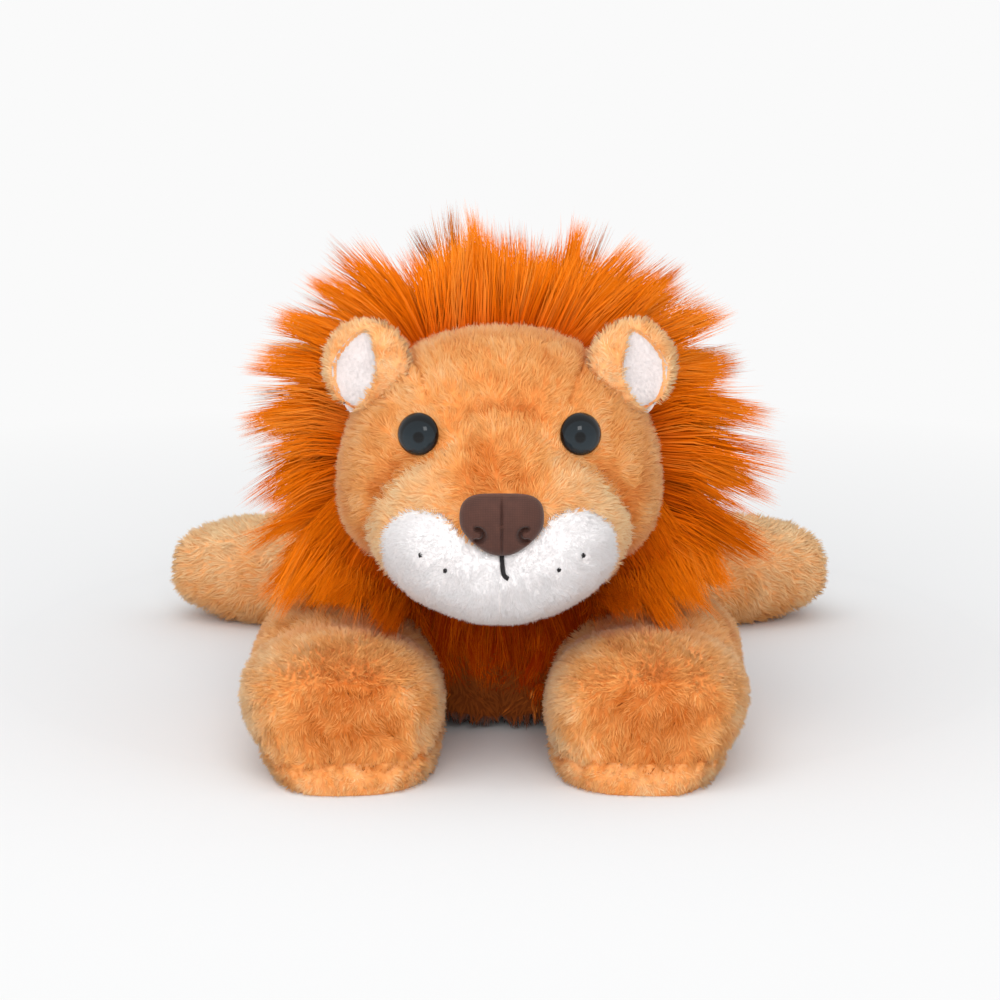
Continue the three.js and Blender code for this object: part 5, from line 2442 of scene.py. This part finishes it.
@dataclass
class FrontLeg:
    """A front leg: its upper skin, and the sole that is sewn on below a puckered seam."""

    side: Side
    seam_height: float = 0.0095
    sole_behind: float = -0.134
    crown: Place = (0.054, -0.186, 0.046)
    pile: Pile = Pile(spacing=0.0007, length=0.0029, width=0.0003, tuft=0.0028, softness=0.72)
    sole_pile: Pile = Pile(spacing=0.0007, length=0.0026, width=0.0003, lean=0.3, softness=0.72)
    stuffing: Stuffing = Stuffing(voxel=0.0045, inset=0.0004, most=0.004, sunk=0.009)
    seam_half: float = 0.042
    seam_waves: tuple[Pair, ...] = ((0.0011, 0.0075), (0.0012, 0.031))
    splay: float = 0.0045
    splay_height: float = 0.02
    seam_groove: Pair = (0.0012, 0.0018)
    # Painted shade along the sole's puckered seam
    seam_painted_shade: float = 0.3
    sole_run: float = 0.006
    sole_proud: float = 0.0004
    middle: float = -0.165
    radius: float = 0.036
    parting_behind: float = 0.012
    droop: float = 0.4
    arm_from: float = -0.15
    arm_lie: float = 0.6
    hidden_across: float = 0.046
    hidden_behind: float = -0.1
    taper: float = 0.3
    taper_height: float = 0.038
    taper_power: float = 2.0
    turned_in: float = 0.0035
    elbow: float = -0.1
    forearm: float = 0.06
    deep_place: Place = (0.0515, -0.205, 0.026)
    deep_size: float = 0.027
    pucker_depth: float = 0.0013
    pucker_length: float = 0.0075
    pucker_height: float = 0.004
    wrist: float = -0.152
    wrist_width: float = 0.013
    wrist_depth: float = 0.0022
    wrist_curve: float = 0.1
    wrist_from: float = 0.022
    wrist_rise: float = 0.014
    low_height: float = 0.03
    paw_from: float = -0.13
    paw_run: float = 0.05
    tone_middle: float = 0.55
    tone_spread: float = 0.08
    tone_length: float = 0.02
    # Painted shade in the fold between the arm and the paw
    fold_painted_shade: float = 0.08
    # Paler at the paw's sides, which is a painted sheen where the pile is seen edge-on; paler below; deeper
    # on the crown
    paw_tones: Place = (0.26, 0.08, 0.35)
    least_tone: float = 0.22
    sole_tones: Pair = (0.62, 0.1)
    sole_tone_length: float = 0.012
    sole_parting: Place = (0.054, -0.16, 0.02)
    sole_droop: float = 0.3
    longer_place: Pair = (-0.2, 0.032)
    longer_size: float = 0.02
    longer_share: float = 0.25

    @property
    def body(self) -> str:
        """The body that the leg rides on."""
        return f"front_leg_{self.side.suffix}"

    def seam_at(self, across: np.ndarray) -> np.ndarray:
        """The seam's height at places' X: it waves, as puckered cloth does."""
        waves = [size * np.sin(2 * math.pi * across / length) for size, length in self.seam_waves]
        return self.seam_height + sum(waves)

    def seam(self) -> Seam:
        """The sole's seam."""
        across = self.side.value * self.crown[0] + np.linspace(-1, 1, 61) * self.seam_half
        points = tuple(zip(across.tolist(), self.seam_at(across).tolist()))
        width, depth = self.seam_groove
        return Seam(points, width=width, depth=depth, only=self.is_ahead, shade=self.seam_painted_shade)

    def build(self) -> None:
        """Builds the leg and its sole."""
        suffix = self.side.suffix
        skin = self.stuffing.fill(hull_round(
            f"front_leg_plush_{suffix}", f"front_leg_cover_{suffix}", f"paw_sole_{suffix}"))
        self.sew_seam(skin)
        sole = self.sole_of(skin)
        rule = self.seam()
        Pelt(skin, self.tone).add(self.pile.grow(
            skin, self.flow, self.tone, 91 + self.side.value, self.is_upper, (rule,), self.longer,
        )).sew(TAN, self.body, (f"front_leg_cover_{suffix}", f"front_leg_filling_{suffix}"), fill=0.85)
        across, ahead, height = self.sole_parting
        flow = away_from((self.side.value * across, ahead, height), self.sole_droop)
        Pelt(sole, self.sole_tone).add(self.sole_pile.grow(
            sole, flow, self.sole_tone, 95 + self.side.value,
            lambda places: is_off_the_floor(places) & (places[:, 2] < self.seam_at(places[:, 0])), (rule,),
        )).sew(TAN, self.body, (f"paw_sole_{suffix}",), fill=0.85)

    def is_ahead(self, places: np.ndarray) -> np.ndarray:
        """1 where there is a sole, falling to 0 behind it."""
        return np.clip((self.sole_behind + self.sole_run - places[:, 1]) / (2 * self.sole_run), 0, 1)

    def sew_seam(self, skin: bpy.types.Object) -> None:
        """Draws the skin in at the sole's seam, in puckers.

        Args:
            skin: The leg's skin.
        """
        points, normals = surface(skin)
        middle = np.array([self.side.value * self.crown[0], self.middle])
        angle = np.arctan2(points[:, 0] - middle[0], -(points[:, 1] - middle[1]))
        puckers = 0.5 + 0.5 * np.sin(angle * self.radius * 2 * math.pi / self.pucker_length)
        higher = (points[:, 2] - self.seam_height - self.pucker_height) / self.pucker_height
        above = np.exp(-(higher**2)) * self.is_ahead(points)
        depth = self.pucker_depth * puckers * above + self.wrist_depth * self.wrist_fold(points)
        points -= normals * depth[:, None]
        low = np.clip(1 - points[:, 2] / self.taper_height, 0, 1) ** self.taper_power
        beyond = np.maximum(self.side.value * points[:, 0] - self.crown[0], 0)
        points[:, 0] -= self.side.value * beyond * self.taper * low
        lowest = np.clip(1 - points[:, 2] / self.splay_height, 0, 1)
        points[:, 1] -= self.splay * lowest * self.is_ahead(points)
        if self.side is Side.LEFT:
            points[:, 0] -= self.turned_in * np.clip((self.elbow - points[:, 1]) / self.forearm, 0, 1)
        write(skin.data, points)
        self.seam().pull_in(skin)

    def wrist_fold(self, places: np.ndarray) -> np.ndarray:
        """How near places are to the fold between the arm and the paw.

        Args:
            places: The places.

        Returns:
            1 in the fold's bottom, falling to 0.
        """
        aside = np.abs(places[:, 0] - self.side.value * self.crown[0])
        bent = places[:, 1] - self.wrist - self.wrist_curve * aside
        high = np.clip((places[:, 2] - self.wrist_from) / self.wrist_rise, 0, 1)
        return np.exp(-((bent / self.wrist_width) ** 2)) * high

    def sole_of(self, skin: bpy.types.Object) -> bpy.types.Object:
        """Copies the sole from the leg's skin.

        Args:
            skin: The leg's skin.

        Returns:
            The sole, slightly proud of the skin.
        """
        sole = bpy.data.objects.new(f"paw_sole_plush_{self.side.suffix}", skin.data.copy())
        bpy.context.scene.collection.objects.link(sole)
        sliced(sole, (0, 0, self.seam_height + max(size for size, _ in self.seam_waves)), (0, 0, 1))
        sliced(sole, (0, self.sole_behind, 0), (0, 1, 0))
        points, normals = surface(sole)
        outward = normals * np.array([1, 1, 0])
        write(sole.data, points + outward * self.sole_proud)
        return sole

    def flow(self, places: np.ndarray) -> np.ndarray:
        """The pile runs out from the paw's crown and down, and ahead along the arm."""
        across, ahead, height = self.crown
        crown = np.array([self.side.value * across, ahead + self.parting_behind, height])
        out = unit(places - crown) + np.array([0, 0, -self.droop])
        return out + np.array([0, -self.arm_lie, 0]) * (places[:, 1:2] > self.arm_from)

    def tone(self, places: np.ndarray) -> np.ndarray:
        """The pile's tone: deep on the paw's crown, pale at its edges as painted sheen, pale below, and
        painted shade in the wrist's fold.
        """
        across, ahead, height = self.deep_place
        deep = patch(places, (self.side.value * across, ahead, height), self.deep_size)
        aside = np.clip(np.abs(places[:, 0] - self.side.value * self.crown[0]) / self.radius, 0, 1)
        low = np.clip((self.low_height - places[:, 2]) / self.low_height, 0, 1)
        forward = np.clip((self.paw_from - places[:, 1]) / self.paw_run, 0, 1)
        # Painted shade in the wrist's fold, and below it a painted sheen on the paw's sides
        fold = self.fold_painted_shade * self.wrist_fold(places)
        paler, lower, deeper = self.paw_tones
        paw = (paler * aside**2 + lower * low - deeper * deep) * forward
        clouds = self.tone_spread * drift(places, self.tone_length, 92)
        return np.maximum(self.tone_middle + paw - fold + clouds, self.least_tone)

    def sole_tone(self, places: np.ndarray) -> np.ndarray:
        """The sole's tone."""
        middle, spread = self.sole_tones
        return middle + spread * drift(places, self.sole_tone_length, 93)

    def longer(self, places: np.ndarray) -> np.ndarray:
        """The pile's length: longest where it stands up in front of the crown."""
        place = (self.side.value * self.crown[0], *self.longer_place)
        return 1 + self.longer_share * patch(places, place, self.longer_size)

    def is_upper(self, places: np.ndarray) -> np.ndarray:
        """Where the pile isn't on the sole or inside the torso."""
        on_sole = (places[:, 2] < self.seam_at(places[:, 0])) & (places[:, 1] < self.sole_behind)
        inside = (np.abs(places[:, 0]) < self.hidden_across) & (places[:, 1] > self.hidden_behind)
        return ~on_sole & ~inside & is_off_the_floor(places)


@dataclass
class HindLeg:
    """A hind leg, splayed out to the side."""

    side: Side
    pile: Pile = Pile(spacing=0.00095, length=0.004, width=0.0004, tuft=0.003)
    stuffing: Stuffing = Stuffing(voxel=0.005, most=0.005, sunk=0.006)
    height: float = 0.045
    tones: Place = (0.55, 0.4, 0.08)
    tone_length: float = 0.02
    hidden_across: float = 0.046

    def build(self) -> None:
        """Builds the leg."""
        suffix = self.side.suffix
        skin = self.stuffing.fill(hull_round(f"hind_leg_plush_{suffix}", f"hind_leg_cover_{suffix}"))
        flow = along((self.side.value, 0.15, -0.35))
        Pelt(skin, self.tone).add(self.pile.grow(
            skin, flow, self.tone, 111 + self.side.value, self.is_open,
        )).sew(
            TAN, f"hind_leg_{suffix}", (f"hind_leg_cover_{suffix}", f"hind_leg_filling_{suffix}"), fill=0.85)

    def tone(self, places: np.ndarray) -> np.ndarray:
        """The pile's tone: pale above."""
        low, rise, spread = self.tones
        clouds = spread * drift(places, self.tone_length, 112)
        return low + rise * np.clip(places[:, 2] / self.height, 0, 1) + clouds

    def is_open(self, places: np.ndarray) -> np.ndarray:
        """Where the pile isn't inside the torso or under the foot."""
        return (np.abs(places[:, 0]) > self.hidden_across) & is_off_the_floor(places)


@dataclass
class Tail:
    """The tail and its tuft of mane pile."""

    pile: Pile = Pile(spacing=0.001, length=0.0038, width=0.00045, lean=0.55)
    stuffing: Stuffing = Stuffing(voxel=0.003, inset=0.0005, most=0.002)
    long_pile: LongPile = LongPile(width=0.0004, locks=(Lock(0.006, 0.35, 0.002), Lock(0.003, 0.4, 0.001)))
    flow: Place = (0, 1, -0.2)
    tones: Pair = (0.45, 0.08)
    tone_length: float = 0.02
    tuft_inset: float = 0.003
    tuft_spacing: float = 0.0011
    tuft_to: float = 0.198
    tuft_reach: float = 0.024
    tail_end: float = 0.213

    def build(self) -> None:
        """Builds the tail and its tuft."""
        skin = bpy.data.objects.new("tail_plush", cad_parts["tail_cover"].data.copy())
        bpy.context.scene.collection.objects.link(skin)
        alone(skin)
        bpy.ops.mesh.customdata_custom_splitnormals_clear()
        with editing(skin):
            bpy.ops.mesh.remove_doubles(threshold=MERGED)
        self.stuffing.fill(skin)
        Pelt(skin, self.tone).add(self.pile.grow(
            skin, along(self.flow), self.tone, 121, is_off_the_floor,
        )).sew(TAN, "tail", ("tail_cover",), fill=0.7)
        tuft = self.stuffing.fill(hull_round("tail_tuft_pile", "tail_tuft"))
        with editing(tuft):
            bpy.ops.transform.shrink_fatten(value=-self.tuft_inset)
        roots = Roots.on(tuft, self.tuft_spacing, np.random.default_rng(123))
        roots = roots.kept(is_off_the_floor(roots.places) & (roots.places[:, 1] < self.tuft_to))
        way = unit(np.array([0, 1, -0.1]) + 0.5 * roots.normals)
        reach = np.minimum(self.tuft_reach, self.tail_end - roots.places[:, 1])[:, None]
        start = unit(way + roots.normals) * reach * 0.45
        tones = np.full(len(way), self.tones[0])
        strands = self.long_pile.grow(roots, start, way * reach, roots.normals, tones, 124)
        Pelt(tuft, dark).add(strands).sew(MANE, "tail", ("tail_tuft",), fill=None)

    def tone(self, places: np.ndarray) -> np.ndarray:
        """The pile's tone."""
        middle, spread = self.tones
        return middle + spread * drift(places, self.tone_length, 122)


# The studio


@dataclass
class Studio:
    """The pale floor, the lamps and the camera."""

    focal_pixels: float = 3430.0
    image_pixels: float = 1000.0
    sensor: float = 36.0
    camera_place: Place = (0.0002, -1.342, 0.340)
    pitch: float = math.radians(11.8)
    floor_half: float = 9.0
    near: float = 0.2
    far: float = 0.55
    backdrop: Colour = paint(250, 250, 250)
    floor_colour: Colour = paint(224, 225, 226)
    sky: float = 0.86
    lamps: tuple[tuple[str, Place, float, float], ...] = (
        ("overhead", (-0.35, -0.75, 1.5), 1.4, 7.5),
        ("front_fill", (-0.2, -2.1, 0.7), 1.3, 18.0),
        ("glint", (0.4, -1.5, 1.1), 0.5, 3.4),
    )
    glint_size: float = 1.0
    lamp_aim: Place = (0, -0.1, 0.06)
    fade_power: float = 0.7

    def build(self) -> None:
        """Builds the studio."""
        bpy.context.scene.view_settings.view_transform = "Standard"
        self.build_floor()
        self.build_sky()
        for name, place, size, power in self.lamps:
            lamp = self.build_lamp(name, place, size, power)
            lamp.visible_glossy = size < self.glint_size
        self.build_camera()

    def build_floor(self) -> None:
        """Builds the floor, which fades into the backdrop's colour behind."""
        bpy.ops.object.select_all(action="DESELECT")
        bpy.ops.mesh.primitive_plane_add(size=2 * self.floor_half, location=(0, 0, 0))
        floor = bpy.context.object
        floor.name = "floor"
        recipe = Recipe("studio_floor")
        place = recipe.node("ShaderNodeTexCoord").outputs["Object"]
        distance = recipe.node("ShaderNodeVectorMath", {"operation": "LENGTH"}, {0: place})
        away = Signal(recipe, distance.outputs["Value"])
        share = ((away - self.near) / (self.far - self.near)).clamped()
        matt = recipe.node("ShaderNodeBsdfDiffuse", {}, {"Color": self.floor_colour})
        glow = recipe.node("ShaderNodeEmission", {}, {"Color": self.backdrop, "Strength": 1})
        rays = recipe.node("ShaderNodeLightPath")
        seen = Signal(recipe, rays.outputs["Is Camera Ray"]) + Signal(recipe, rays.outputs["Is Glossy Ray"])
        factor = (share ** self.fade_power) * seen.clamped()
        mix = recipe.node("ShaderNodeMixShader", {}, {0: factor, 1: matt.outputs[0], 2: glow.outputs[0]})
        floor.data.materials.append(recipe.finish(mix))

    def build_sky(self) -> None:
        """Lights the lion from all round with a plain white sky."""
        world = bpy.data.worlds.new("studio_sky")
        bpy.context.scene.world = world
        world.use_nodes = True
        background = world.node_tree.nodes["Background"]
        background.inputs["Color"].default_value = (1, 1, 1, 1)
        background.inputs["Strength"].default_value = self.sky

    def build_lamp(self, name: str, place: Place, size: float, power: float) -> bpy.types.Object:
        """Adds a square soft lamp that faces the lion.

        Args:
            name: The lamp's name.
            place: Where it hangs.
            size: Its side.
            power: Its power in watts.

        Returns:
            The lamp.
        """
        light = bpy.data.lights.new(name, "AREA")
        light.shape = "SQUARE"
        light.size = size
        light.energy = power
        lamp = bpy.data.objects.new(name, light)
        bpy.context.scene.collection.objects.link(lamp)
        lamp.location = place
        aim = Vector(self.lamp_aim) - Vector(place)
        lamp.rotation_euler = aim.to_track_quat("-Z", "Y").to_euler()
        return lamp

    def build_camera(self) -> None:
        """Places the camera at the photograph's angle."""
        data = bpy.data.cameras.new("camera")
        data.sensor_width = self.sensor
        data.lens = self.sensor * self.focal_pixels / self.image_pixels
        camera = bpy.data.objects.new("camera", data)
        bpy.context.scene.collection.objects.link(camera)
        camera.location = self.camera_place
        camera.rotation_euler = (math.pi / 2 - self.pitch, 0, 0)
        bpy.context.scene.camera = camera


def main() -> None:
    """Builds the lion and the studio."""
    logging.basicConfig(level=logging.INFO, format="%(name)s: %(message)s", stream=sys.stdout)
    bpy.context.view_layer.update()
    Studio().build()
    Torso().build()
    Head().build()
    Muzzle().build()
    Nose().build()
    Mane().build()
    Tail().build()
    for side in Side:
        Eye(side).build()
        Ear(side).build()
        FrontLeg(side).build()
        HindLeg(side).build()


if __name__ == "__main__":
    main()
